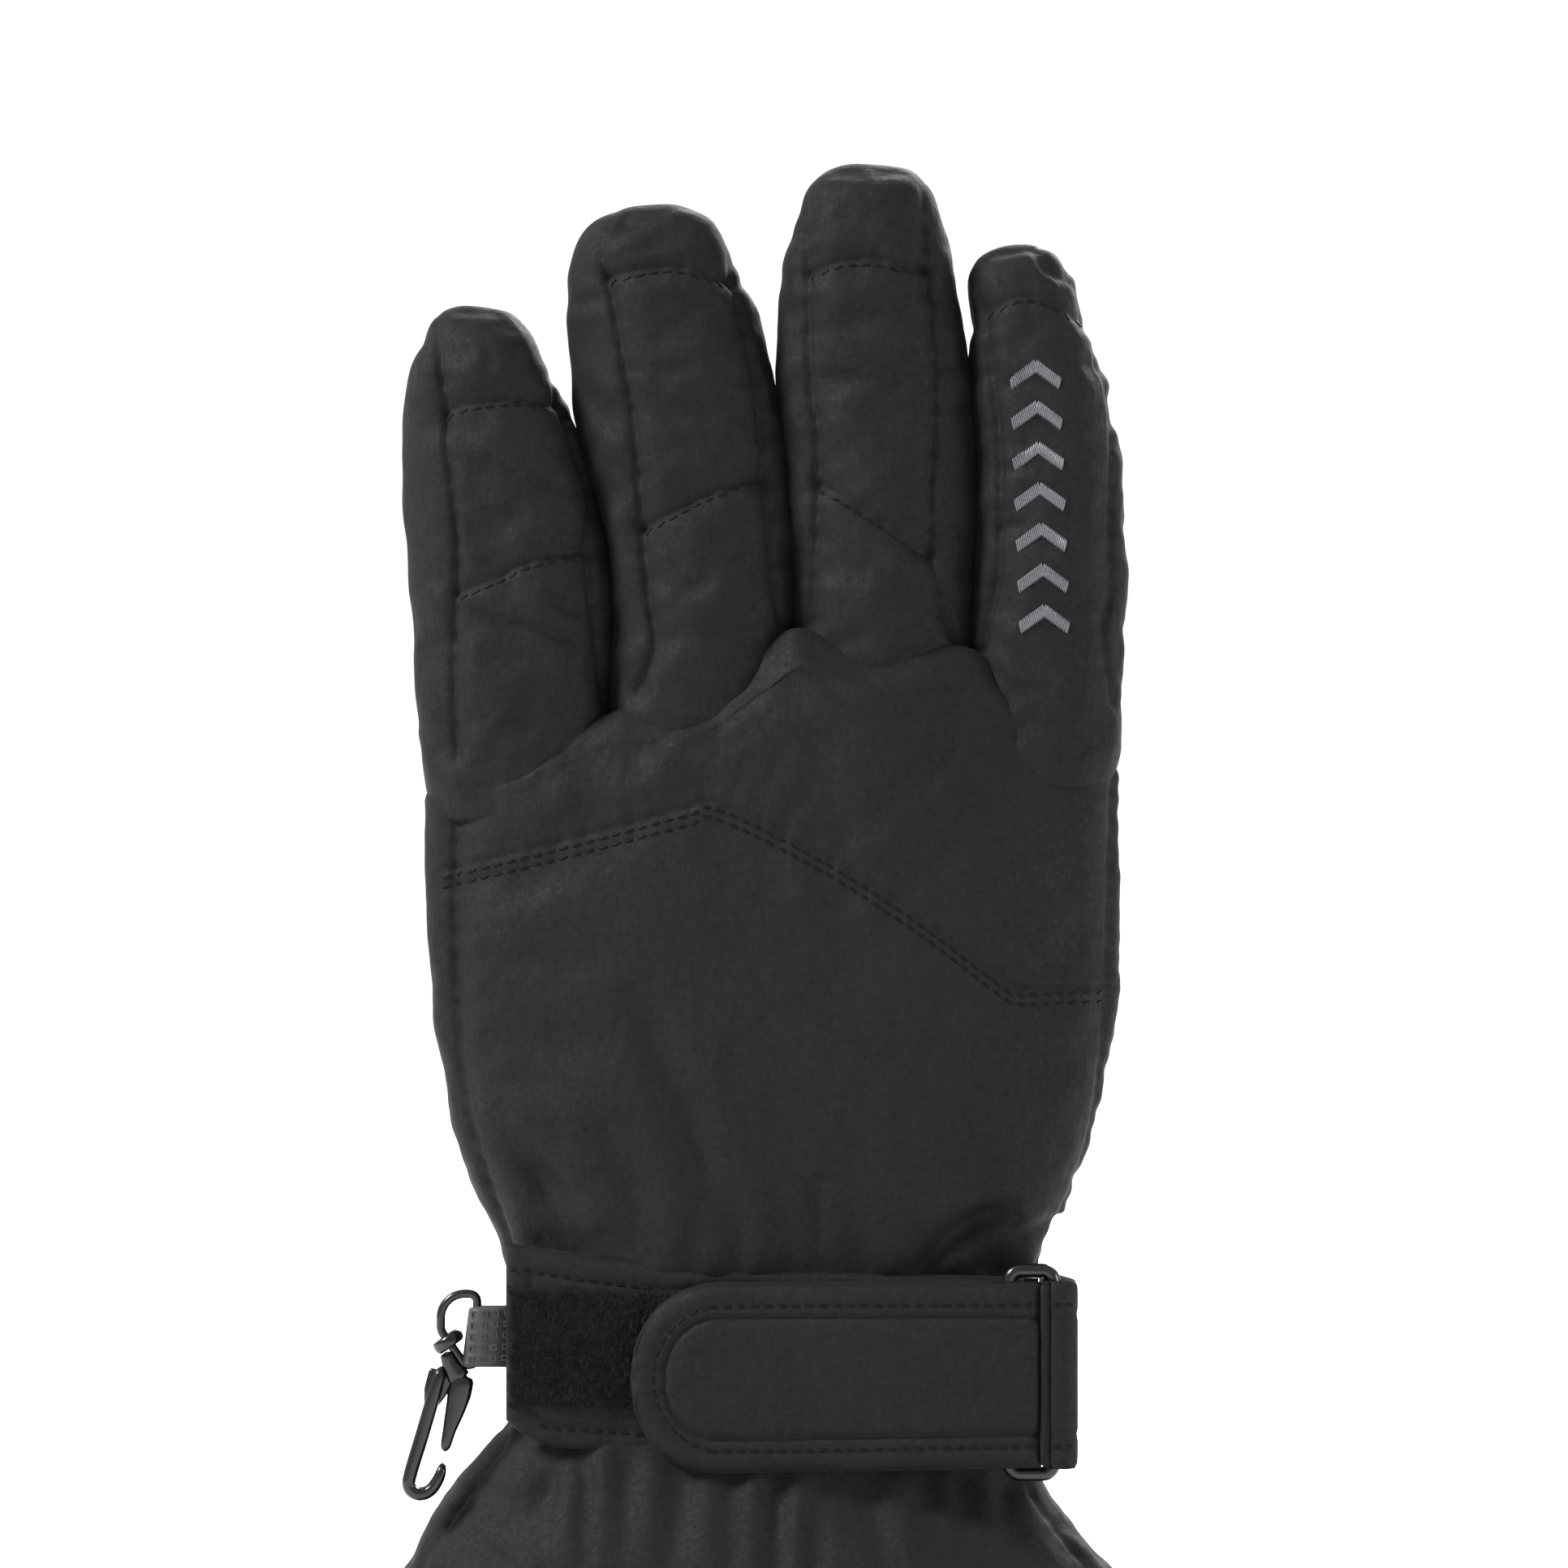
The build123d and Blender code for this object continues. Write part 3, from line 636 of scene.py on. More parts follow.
# Each finger: the height where it parts from its neighbours, its levels (height, left edge, right
# edge), the seams up it, the rows across it, and its folds (depth, width, route).
FINGERS = {
    "little": {
        "free_above": 250,
        "levels": [(176, -58.4, -30), (183, -60.9, -29.4), (192, -61.9, -28.9),
                   (201, -62.5, -28.3), (213, -63.3, -27.9), (222, -63.8, -28.2),
                   (233, -64.4, -30.4), (244, -64.7, -33), (251, -64.6, -35.1),
                   (257, -63.5, -37.8), (262, -61.8, -40.7), (265.7, -60, -43.6),
                   (267.8, -57.6, -46.8), (268.6, -54.6, -50.4)],
        "seams": [[(-58.8, 268), (-58, 261), (-57.3, 252.3), (-56.5, 242.1), (-55.1, 230.5),
                   (-54.7, 221.8), (-55.5, 204.4), (-55, 188)],
                  [(-44, 268), (-41.9, 264.6), (-38.6, 257.3), (-36.7, 251.1), (-34.8, 244.3),
                   (-32, 235.2), (-31.7, 224.7), (-31, 213.3), (-29, 198)]],
        "crossing": [[(-57, 248.9), (-53, 250.4), (-43.4, 251.5), (-37.6, 250.5)],
                     [(-54.7, 216.9), (-46.3, 220.5), (-42.5, 222.4), (-32.3, 225)]],
        "folds": [(0.9, 1.6, [(-55.4, 241.4), (-41, 236.6), (-32.8, 234.3)]),
                  (1.3, 1.5, [(-53.5, 215.6), (-45.8, 211.4), (-32.3, 207.9)]),
                  (0.9, 1.3, [(-40, 217.6), (-36, 215), (-31.9, 212.9)]),
                  (0.8, 2.0, [(-53, 229), (-46, 231), (-38, 227)])],
    },
    "ring": {
        "free_above": 256,
        "levels": [(189, -26.6, 4), (200, -27.3, 4.4), (213, -26.9, 4.5), (222, -27.3, 4.3),
                   (233, -29.5, 3.8), (241, -31.5, 3), (248, -33.4, 2.3), (255, -34.6, 1.5),
                   (262, -35.1, 0), (268.4, -35.3, -1.9), (272.5, -35.3, -3.8), (278, -34.2, -6.1),
                   (282.3, -31.9, -8.2), (285, -28.6, -11.6), (286.4, -24.8, -16)],
        "seams": [[(-26.3, 286.5), (-29, 280.4), (-29.4, 277.1), (-27.6, 269.4), (-24.7, 254.9),
                   (-23.6, 246.8), (-22.5, 234.7), (-22, 226.8), (-21, 217), (-19.9, 207.5), (-22.9, 200)],
                  [(-9.5, 285), (-6.8, 279.4), (-4.9, 267.4), (-2, 254.9), (-0.3, 237.2), (0.6, 226.8),
                   (1.3, 218.5), (2.5, 212)]],
        "crossing": [[(-28.3, 273), (-17, 274.9), (-6.1, 272.3)],
                     [(-21.8, 228.5), (-12.2, 233.7), (-3.5, 237.2), (-0.3, 237.6)]],
        "folds": [(0.9, 1.3, [(-28.4, 281.4), (-22, 283), (-17, 284.3)]),
                  (0.6, 1.2, [(-29, 276.1), (-22, 278), (-14.5, 279)]),
                  (0.8, 1.8, [(-24.7, 256.4), (-19.3, 255.9), (-12, 257)]),
                  (0.9, 1.8, [(-21.3, 220), (-16, 218), (-9, 218)]),
                  (0.7, 2.2, [(-20, 207), (-12, 210), (-2, 216)])],
    },
    "middle": {
        "free_above": 264,
        "levels": [(196, 5.7, 35.4), (205, 5.4, 35.6), (214, 5.2, 35.9), (226, 5, 36.5),
                   (241, 3.8, 36.8), (253, 2.8, 36.2), (260, 1.9, 35.7), (268, 2.2, 34.8),
                   (275, 3, 33.4), (281, 4.3, 31.9), (287, 5.8, 30.4), (290.3, 7.4, 28.9),
                   (292.8, 10.2, 25.9), (293.9, 14, 21.2)],
        "seams": [[(9.9, 293.6), (7.4, 290), (6.7, 287.1), (7, 274.2), (7.8, 253.4), (8.8, 245.3),
                   (8.6, 226.2), (7.7, 212)],
                  [(27.8, 292), (28.1, 277.5), (28.9, 265.5), (29.7, 254.4), (29.1, 234.3),
                   (29, 224.7), (30.3, 217), (33.9, 208)]],
        "crossing": [[(7, 273.7), (15.5, 276.1), (28.1, 274.6)],
                     [(8.8, 236.6), (20.4, 229.5), (28.9, 223.4)]],
        "folds": [(0.9, 1.6, [(7.8, 255.5), (22.3, 254), (29.7, 253.5)]),
                  (0.9, 1.5, [(19, 220.5), (24, 219.5), (29, 219)]),
                  (0.6, 2.2, [(9, 222), (15, 220), (21, 223)]),
                  (0.6, 2.5, [(10, 264), (18, 266), (27, 263)])],
    },
    "index": {
        "free_above": 266,
        "levels": [(182, 38, 60.6), (189, 37.6, 63.3), (200, 37.4, 63.9), (211, 36.9, 64.1),
                   (226, 37.7, 64.4),
                   (239, 37.9, 63.8), (251, 37.3, 62.2), (258.5, 36.6, 60.3), (265, 35.9, 58.1),
                   (270, 35.2, 56), (274, 35.3, 54.2), (276.5, 36.6, 52.6), (278.2, 39.2, 50.2),
                   (279.1, 42.5, 47.4)],
        "seams": [[(37.4, 277.5), (36.9, 274), (38.4, 265), (39.6, 255.9), (40.9, 246.3),
                   (41.2, 226.2), (40.2, 216.2), (38, 207)],
                  [(52.9, 277), (53.5, 272.7), (56, 269.8), (58.1, 261.7), (60.3, 254.4),
                   (61.5, 247.2), (61, 226.2), (61.2, 217.6), (59.8, 209.9), (61.6, 198)]],
        "crossing": [[(38.7, 266.9), (46.4, 269.8), (55.5, 266)]],
        "folds": [(1.2, 1.2, [(47.3, 278.5), (49.7, 274.6), (53.6, 272.5)]),
                  (0.7, 1.5, [(40.2, 253), (43.5, 254.2), (46.8, 254.5)]),
                  (0.8, 1.6, [(53.6, 258.4), (57, 258), (59.9, 257.8)]),
                  (0.8, 1.4, [(41.6, 238.1), (44, 239.2), (47.3, 239.5)]),
                  (0.8, 1.4, [(41, 228.2), (43, 229), (46.4, 228.9)]),
                  (1.1, 2.2, [(38.7, 209.5), (44.2, 205.9), (52, 201.5)])],
    },
}
joints = {joint["name"]: joint for joint in frame["joints"]}


finger_skins = {}
for finger, shape in FINGERS.items():
    tip_height = shape["levels"][-1][0]
    levels = []
    for height, left, right in shape["levels"]:
        round_off = max(0.0, 1 - (tip_height - height) / TIP_DOME)
        half = FINGER_HALF_DEPTH * max(0.2, math.sqrt(1 - round_off**2))
        pressed = PRESSED * min(1.0, max(0.0, (shape["free_above"] - height) / 12))
        left -= pressed * (finger != "little")
        right += pressed * (finger != "index")
        levels.append((height, left, right, -half, half))
    levels = smooth_rows(levels, 2.2)
    whole = tube(f"{finger}_whole", [level_ring(row, 44, 2.35) for row in levels], twill)
    inflate(whole, shape["seams"] + shape["crossing"], 0.03, 1.1, pressure=6.0)
    refine(whole, 2)
    points, normals = skin_of(whole)
    ripples = uneven(points, 21, 16, (1, 1, 2)) * 0.3 + uneven(points, 22, 7, (1, 1, 2)) * 0.1
    points += normals * ripples[:, None]
    tip = np.clip((levels[-1][0] - points[:, 2]) / 14, 0.15, 1)
    sew(points, normals, shape["seams"], ((0.8, 2.4), (0.75, 0.7)), share=tip)
    for seam in shape["crossing"]:
        press(points, normals, seam, 0.55, 0.75)
        press(points, normals, seam, 0.5, 2.6)
    for depth, width, route in shape["folds"]:
        press(points, normals, route, depth, width, fold=True)
        mirrored = [(x, z - 4) for x, z in route]
        press(points, normals, mirrored, depth, 1.5 * width, 1, fold=True)
    move_points(whole, points)
    knuckle = joints[f"{finger}_knuckle"]
    bend = joints[f"{finger}_middle_joint"]
    along = np.array(bend["pos_m"]) - np.array(knuckle["pos_m"])
    reach = float(np.linalg.norm(along)) / MM
    along /= np.linalg.norm(along)
    meet = knuckle["pos_m"][2] / MM + reach * 0.5
    heights = face_heights(whole)
    lower = part_of(whole, f"{finger}_lower_shell", heights < meet)
    upper = part_of(whole, f"{finger}_upper_shell", heights >= meet)
    whole_surface = surface_of(whole)
    bpy.data.objects.remove(whole)
    rows = [[(x, z - 1.1) for x, z in seam] for seam in shape["crossing"]]
    upper_rows = stitches(f"{finger}_upper_topstitching", rows[:1], whole_surface)
    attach(upper_rows, f"{finger}_upper")
    if len(rows) > 1:
        lower_rows = stitches(f"{finger}_lower_topstitching", rows[1:], whole_surface)
        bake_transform(lower_rows)
    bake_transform(lower)
    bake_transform(upper)
    for piece, end in ((lower, "lower"), (upper, "upper")):
        panels = ("back", "fourchettes", "palm", "liner")
        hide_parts(*[f"{finger}_{panel}_{end}" for panel in panels])
    finger_skins[finger] = (whole_surface, along, bend)


# Gauntlet: the flared cuff below the wrist strap, a back, a palm and two side panels, drawn
# in to the wrist in gathers and edged at the hem with a folded binding.
GAUNTLET_LEVELS = [
    (3, -71.6, 71.6, -35.6, 35.6), (10, -71.5, 71.4, -35, 35), (20, -70.9, 70.2, -33.2, 33.2),
    (30, -69.3, 67.6, -30.8, 30.8), (40, -66.8, 63.6, -28, 28), (46.5, -63.4, 59.5, -25.4, 25.4),
    (51.7, -60.2, 55.1, -23, 23), (57, -56.8, 50.4, -20.4, 20.2), (61, -54.3, 47.8, -18.8, 18.6),
    (66, -50.2, 47.4, -17, 17), (70.6, -46, 47.2, -15.9, 16), (76, -44.9, 47, -15.3, 15.4),
    (88, -44.8, 47, -15.2, 15.4),
]
GAUNTLET_FOLDS = [
    (1.5, 2.6, [(2.6, 66), (1.6, 52), (1, 34)]),
    (1.3, 2.4, [(8.5, 66), (8.4, 50), (9, 36)]),
    (1.4, 3.2, [(29, 66), (30.5, 54), (33.4, 38)]),
    (1.5, 3.0, [(-31, 69), (-38, 60), (-47, 48)]),
    (0.9, 3.4, [(-14, 66), (-16, 54), (-19, 42)]),
    (0.9, 3, [(18, 66), (19, 55), (22, 44)]),
]
GAUNTLET_SEAMS = [
    [(-46.5, 67), (-50.5, 61.5), (-54.2, 56.1), (-59.6, 48), (-64, 38), (-67, 22), (-67.6, 2)],
    [(45.5, 67), (46.5, 59), (51, 52), (57, 44.5), (61.8, 36), (65.6, 22), (66.8, 2)],
]
STRAP_HIDES_ABOVE = 68

rings = [level_ring(row, 128, 2.6) for row in smooth_rows(GAUNTLET_LEVELS, 3.2)]
cuff = tube("gauntlet_shell", rings, twill, close_low=False, close_high=False)
inflate(cuff, GAUNTLET_SEAMS, 0.03, 2.0, frames=14)
refine(cuff, 2)
points, normals = skin_of(cuff)
flare = np.exp(-np.clip(66 - points[:, 2], 0, 99) / 13.0)
flare *= np.clip((STRAP_HIDES_ABOVE - points[:, 2]) / 7, 0, 1)
warped = points[:, 0] + 2.6 * np.sin(points[:, 0] / 11 + 2) + 1.6 * np.sin(points[:, 0] / 5.3)
gathers = np.cos(2 * math.pi * warped / 9.5) * flare * 0.9
still = np.clip((points[:, 2] - 4) / 14, 0, 1)
ripples = (uneven(points, 41, 30) * 0.7 + uneven(points, 42, 12) * 0.14) * still
points += normals * (gathers + ripples)[:, None]
for depth, width, route in GAUNTLET_FOLDS:
    press(points, normals, route, depth, width, fold=True)
    mirrored = [(-x, z) for x, z in route]
    press(points, normals, mirrored, depth, width, 1, fold=True)
sew(points, normals, GAUNTLET_SEAMS, ((0.6, 2.2), (0.7, 0.7)))
move_points(cuff, points)
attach(cuff, "hand")
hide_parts("gauntlet_back", "gauntlet_sides", "gauntlet_palm")


# Hem binding: a strip of the shell cloth folded over the raw edges of the gauntlet's shell and
# lining and topstitched along its upper edge, right round the mouth.
HEM_HALF = (72.4, 36.4)
HEM_ROW = 6.6
HEM_STITCHES = 190
# Each corner of the binding's section: how far inwards, a little more, and how high.
HEM_PROFILE = [(0, 0.5, 0.8), (0, 0.1, 2.4), (0.15, 0, 5.4), (0.3, 0.1, 7.4), (1.1, 0, 8.5),
               (2.3, 0, 8.6), (4.0, 0, 8.0), (4.6, 0, 6.0), (4.65, 0, 2.4), (3.9, 0, 0.5),
               (2.3, 0, 0.0), (1.0, 0, 0.1), (0, 0.5, 0.8)]

rings = []
for inwards, more, height in HEM_PROFILE:
    half_width = HEM_HALF[0] - inwards - more
    half_depth = HEM_HALF[1] - inwards - more
    rings.append(level_ring((height, -half_width, half_width, -half_depth, half_depth), 220, 2.75))
hem = tube("hem_edge", rings, twill, close_low=False, close_high=False)
refine(hem, 1)
points, normals = skin_of(hem)
above_floor = np.clip((points[:, 2] - 0.8) / 3, 0, 1)
points += normals * (uneven(points, 51, 9) * 0.12 * above_floor)[:, None]
sew(points, normals, [[(-90, HEM_ROW), (90, HEM_ROW)]], ((0.3, 0.7),))
move_points(hem, points)
hem_surface = surface_of(hem)
beads = []
for turn in np.linspace(0, 2 * math.pi, HEM_STITCHES, endpoint=False):
    out = Vector((math.cos(turn) * 1.9, math.sin(turn), 0)).normalized()
    outside = Vector((math.cos(turn) * 0.1, math.sin(turn) * 0.06, HEM_ROW * MM))
    hit, normal, _, _ = hem_surface.ray_cast(outside, -out)
    if hit is None:
        continue
    normal = np.array(normal)
    heading = np.cross((0, 0, 1), normal)
    heading /= np.linalg.norm(heading)
    centre = np.array(hit) / MM + normal * 0.05
    beads.append(bead(centre, heading, normal, STITCH_LONG, STITCH_WIDE))
hem_row = gather_beads("hem_topstitching", beads, thread)
for piece in (hem, hem_row):
    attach(piece, "hand")
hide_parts("hem_binding")


# Lining: brushed fleece, bonded to the padding and the waterproof insert, and sewn in as a bag
# that opens at the hem. Its vertical seams lie inside the gauntlet's own.
FLEECE_DARK = (0.004, 0.004, 0.0046)
FLEECE_LIGHT = (0.014, 0.014, 0.0155)
# Each level: height, half its width and half its depth.
LINING_LEVELS = [(4, 67.9, 31.9), (10, 67.2, 31.0), (20, 66.2, 29.0), (30, 64.4, 26.4),
                 (43, 59.2, 22.6), (52, 50.5, 17.2), (61, 42.5, 11.6), (72, 41.0, 10.8), (98, 41.6, 11.0),
                 (125, 49, 11.4), (150, 52, 11.2), (180, 52, 10.6), (188, 48, 8.0), (190, 40, 3.0)]


def fleece_look(place):
    tufts = noise(place, 900.0, 3.0)
    patches = noise(place, 60.0, 3.0)
    tone = tufts * 0.7 + patches * 0.4 - 0.05
    return {
        "Base Color": tone.mix(FLEECE_DARK, FLEECE_LIGHT),
        "Roughness": 0.97 - tufts * 0.1,
        "Normal": bump(tufts, 0.7, 0.0006),
    }


fleece = finish_of("brushed_fleece", fleece_look, Sheen_Weight=0.3, Sheen_Roughness=0.6)
levels = [(z, -half, half, -deep, deep) for z, half, deep in LINING_LEVELS]
rings = [level_ring(row, 96, 2.6)[::-1] for row in smooth_rows(levels, 4.0)]
lining = tube("fleece_lining", rings, fleece, close_low=False)
refine(lining, 1)
points, normals = skin_of(lining)
soft_from = np.clip((points[:, 2] - 5) / 12, 0, 1)
points += normals * ((uneven(points, 61, 24) * 0.55 - 0.1) * soft_from)[:, None]
sew(points, normals, GAUNTLET_SEAMS, ((-0.9, 1.2),))
move_points(lining, points)
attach(lining, "hand")
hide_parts("gauntlet_lining", "hand_liner")


# Thumb: two shaped panels round a padded tube, joined to the palm by a short round gusset, and
# creased where it bends. It lies in front of the palm, out of sight from the back.
THUMB_LEVELS = [(-15.6, 4, 3.5), (-14.6, 8, 6.2), (-12, 11.6, 8.2), (-7, 14.8, 9.6), (0, 16, 9.9),
                (10, 16, 10), (22, 15.2, 9.7), (36, 14.2, 9.3), (48, 13.6, 9.2), (58, 12.8, 8.8),
                (64, 11, 7.8), (68, 8.2, 6), (69.8, 4, 3.2)]
# Each crease: its place along the thumb, its depth and its width.
THUMB_CREASES = ((36, 1.1, 1.6), (31, 0.5, 1.4), (42, 0.6, 1.5), (56, 0.7, 0.8))
THUMB_PARTS_AT = 24
thumb_bend = joints["thumb_bend"]
thumb_root = np.array(joints["thumb_swing"]["pos_m"]) / MM
thumb_along = np.array(thumb_bend["pos_m"]) / MM - thumb_root
thumb_along /= float(np.linalg.norm(thumb_along))
thumb_across = np.array([thumb_along[2], 0, -thumb_along[0]])

rings = []
levels = [(along, -half, half, -deep, deep) for along, half, deep in THUMB_LEVELS]
for row in smooth_rows(levels, 2.4):
    level = level_ring(row, 44, 2.3)
    rings.append(
        thumb_root
        + np.outer(level[:, 0], thumb_across)
        + np.outer(level[:, 1], (0, 1, 0))
        + np.outer(level[:, 2], thumb_along)
    )
thumb = tube("thumb_whole", rings, twill)
inflate(thumb, [], 0.04, 1.0, pressure=5.0)
refine(thumb, 2)
points, normals = skin_of(thumb)
points += normals * (uneven(points, 71, 15) * 0.35 + uneven(points, 72, 7) * 0.1)[:, None]
edge_gap = np.abs(points[:, 1] - thumb_root[1])
edge_seam = 0.7 * np.exp(-((edge_gap / 0.75) ** 2)) + 0.5 * np.exp(-((edge_gap / 2.6) ** 2))
points -= normals * edge_seam[:, None]
reach = (points - thumb_root) @ thumb_along
for place, depth, width in THUMB_CREASES:
    wavy = place + 0.8 * np.sin(points[:, 0] / 4)
    points -= normals * (depth * np.exp(-(((reach - wavy) / width) ** 2)))[:, None]
move_points(thumb, points)
centres = np.array([f.center for f in thumb.data.polygons]) / MM
reach = (centres - thumb_root) @ thumb_along
lower = part_of(thumb, "thumb_lower_shell", reach < THUMB_PARTS_AT)
upper = part_of(thumb, "thumb_upper_shell", reach >= THUMB_PARTS_AT)
bpy.data.objects.remove(thumb)
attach(lower, "thumb_lower")
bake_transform(upper)
for piece, end in ((lower, "lower"), (upper, "upper")):
    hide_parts(*[f"thumb_{panel}_{end}" for panel in ("back", "front", "liner")])

# The gusset's levels: depth and radius. It follows the palm at one end and the thumb at the other.
GUSSET_LEVELS = [(13.5, 14.6), (15.5, 13.4), (17.2, 12.6), (19, 13), (21.5, 14)]
turn = np.linspace(0, 2 * math.pi, 48, endpoint=False)
pleats = 1 + 0.03 * np.sin(turn * 9)
rings = []
for depth, radius in GUSSET_LEVELS:
    rings.append(np.column_stack([
        thumb_root[0] + radius * pleats * np.cos(turn),
        np.full(48, depth),
        thumb_root[2] - radius * pleats * np.sin(turn),
    ]))
gusset = tube("thumb_gusset", rings, twill, close_low=False, close_high=False)
refine(gusset, 2)
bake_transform(gusset)


# Base strap: a band of the shell cloth over foam, bound along both edges and topstitched, sewn
# across the back of the wrist. Its left end turns over the little-finger edge.
STRAP_TOP = [(-45.9, 102.5), (-28.6, 99.9), (-13, 98.3), (14.6, 97.4), (45.5, 96.4)]
STRAP_BOTTOM = [(-45.9, 71.4), (-43.5, 69.4), (-40.3, 67.4), (-36, 66.4), (-10, 65), (45.5, 64)]
STRAP_FACE = -18.3
STRAP_BACK = -15.2
BINDING = 4.3


def band(name, left, right, top, bottom, step, face, back, finish):
    """A flat padded band: face(x, z, edge) is how far forward it stands, edge mm from its rim."""
    xs = np.arange(left, right + step / 2, step)
    top = np.array(top, float)
    bottom = np.array(bottom, float)
    high = np.interp(xs, top[:, 0], top[:, 1])
    low = np.interp(xs, bottom[:, 0], bottom[:, 1])
    rows = max(4, round(float((high - low).max()) / step))
    share = np.linspace(0, 1, rows + 1)
    x = np.repeat(xs[:, None], rows + 1, axis=1)
    z = low[:, None] + (high - low)[:, None] * share[None, :]
    rim = np.vstack([
        np.column_stack([xs, low]),
        np.column_stack([xs, high]),
        np.column_stack([x[0], z[0]]),
        np.column_stack([x[-1], z[-1]]),
    ])
    edge = np.full(x.size, 1e9)
    x = x.ravel()
    z = z.ravel()
    for stretch in np.array_split(rim, 40):
        apart = np.hypot(x[:, None] - stretch[:, 0], z[:, None] - stretch[:, 1])
        edge = np.minimum(edge, apart.min(1))
    front = np.column_stack([x, face(x, z, edge), z])
    rear = np.column_stack([x, back(x) if callable(back) else np.full(x.size, back), z])
    count = len(x)
    across = rows + 1
    faces = []
    for i in range(len(xs) - 1):
        for j in range(rows):
            a = i * across + j
            faces.append((a, a + across, a + across + 1, a + 1))
            faces.append((count + a, count + a + 1, count + a + across + 1, count + a + across))
    for i in range(len(xs) - 1):
        a = i * across
        b = a + rows
        faces.append((a, count + a, count + a + across, a + across))
        faces.append((b, b + across, count + b + across, count + b))
    for j in range(rows):
        last = (len(xs) - 1) * across
        faces.append((j, j + 1, count + j + 1, count + j))
        faces.append((last + j, count + last + j, count + last + j + 1, last + j + 1))
    return new_piece(name, np.vstack([front, rear]), faces, finish)


def rolled(edge, lift, reach):
    """How far a soft rim rises at a distance from its edge."""
    return lift * np.sqrt(1 - (1 - np.clip(edge / reach, 0, 1)) ** 2)


def strap_face(x, z, edge):
    groove = 0.45 * np.exp(-(((edge - BINDING) / 0.6) ** 2))
    worn = 0.12 * np.sin(x / 3.1 + np.sin(z / 5)) + 0.08 * np.sin(x / 1.3)
    return STRAP_FACE + 1.3 - rolled(edge, 1.7, 2.2) + groove - worn * np.clip(edge / 2, 0, 1)


strap = band("base_strap_band", STRAP_TOP[0][0], STRAP_TOP[-1][0], STRAP_TOP, STRAP_BOTTOM, 0.6,
             strap_face, STRAP_BACK, twill)
strap_surface = surface_of(strap)
rows = [[(x, z - BINDING) for x, z in STRAP_TOP], [(x, z + 3.6) for x, z in STRAP_BOTTOM[2:]]]
strap_rows = stitches("base_strap_topstitching", rows, strap_surface)
for piece in (strap, strap_rows):
    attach(piece, "hand")
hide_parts("base_strap")


# Loop pile: a patch of fuzzy nylon loops sewn on the base strap, that the tab grips. The loops
# lie every way, so the patch looks matted and almost black.
PILE_DARK = (0.0005, 0.0005, 0.0005)
PILE_LIGHT = (0.005, 0.005, 0.0053)
LOOSE_LOOPS = 1500
PILE_TOP = [(-45.6, 94.9), (2, 94.1)]
PILE_BOTTOM = [(-45.6, 74.1), (2, 72.3)]


def pile_look(place):
    loops = noise(place, 1500.0, 4.0)
    matted = noise(place, 260.0, 3.0)
    tone = loops * 0.8 + matted * 0.5 - 0.25
    return {
        "Base Color": tone.mix(PILE_DARK, PILE_LIGHT),
        "Roughness": 1.0 - loops * 0.1,
        "Normal": bump(loops, 1.0, 0.0008, bump(matted, 0.6, 0.001)),
    }


pile_finish = finish_of("loop_pile_nylon", pile_look, Specular_IOR_Level=0.1)


def pile_face(x, z, edge):
    spots = np.column_stack([x, np.zeros(len(x)), z])
    fuzz = uneven(spots, 81, 1.7, (1, 0, 1)) * 0.16 + uneven(spots, 82, 0.9, (1, 0, 1)) * 0.14
    return -18.2 - rolled(edge, 1.5, 1.1) - fuzz


pile = band("fuzzy_loop_pile", PILE_TOP[0][0], PILE_TOP[1][0], PILE_TOP, PILE_BOTTOM, 0.35,
            pile_face, -17.9, pile_finish)
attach(pile, "hand")
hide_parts("loop_pile")
draw = np.random.default_rng(9)
beads = []
for _ in range(LOOSE_LOOPS):
    across = draw.uniform(-45.3, -20)
    spot = np.array([across, -19.75 - draw.uniform(0, 0.25), draw.uniform(73.4, 94.3)])
    turn = draw.uniform(0, math.pi)
    tilt = draw.uniform(-0.5, 0.5)
    flat = math.cos(tilt)
    heading = np.array([math.cos(turn) * flat, math.sin(tilt), math.sin(turn) * flat])
    normal = np.cross(heading, (math.sin(turn), 0, -math.cos(turn)))
    normal /= np.linalg.norm(normal)
    beads.append(bead(spot, heading, normal, draw.uniform(0.8, 1.5), 0.16, sides=4))
loops = gather_beads("loose_pile_loops", beads, pile_finish)
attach(loops, "hand")


# Pull tab: foam between two layers of the shell cloth, bound all round its rounded end with a
# wide rolled binding. It folds round the ring's inner bar and its hook tape grips the pile.
TAB_LEFT = -23.9
TAB_RIGHT = 48.0
TAB_BINDING = 6.1
TAB_FACE = -23.9
TAB_MIDDLE = 79.0
TAB_HALF = 16.9
TAB_ROUND = 2.15
ROW_INSET = 2.1
ROUND_ROW = 12.9


def tab_half(x):
    """Half the tab's height at x, closing round its left end."""
    into = np.clip((x - TAB_LEFT) / (TAB_HALF - 0.6), 0, 1)
    rounded = TAB_HALF * (1 - (1 - into) ** TAB_ROUND) ** (1 / TAB_ROUND)
    return np.maximum(0.25, rounded - 0.008 * (x - TAB_LEFT))


def tab_edge(x, side):
    """The tab's upper edge, or its lower one. Its middle rises a little to the right."""
    return TAB_MIDDLE + 0.8 * (x - TAB_LEFT) / 72 + side * tab_half(x)


tab_xs = TAB_LEFT + (TAB_RIGHT - TAB_LEFT) * (1 - np.cos(np.linspace(0, math.pi / 2, 90))) ** 1.1
tab_top, tab_bottom = ([(x, tab_edge(x, side)) for x in tab_xs] for side in (1, -1))


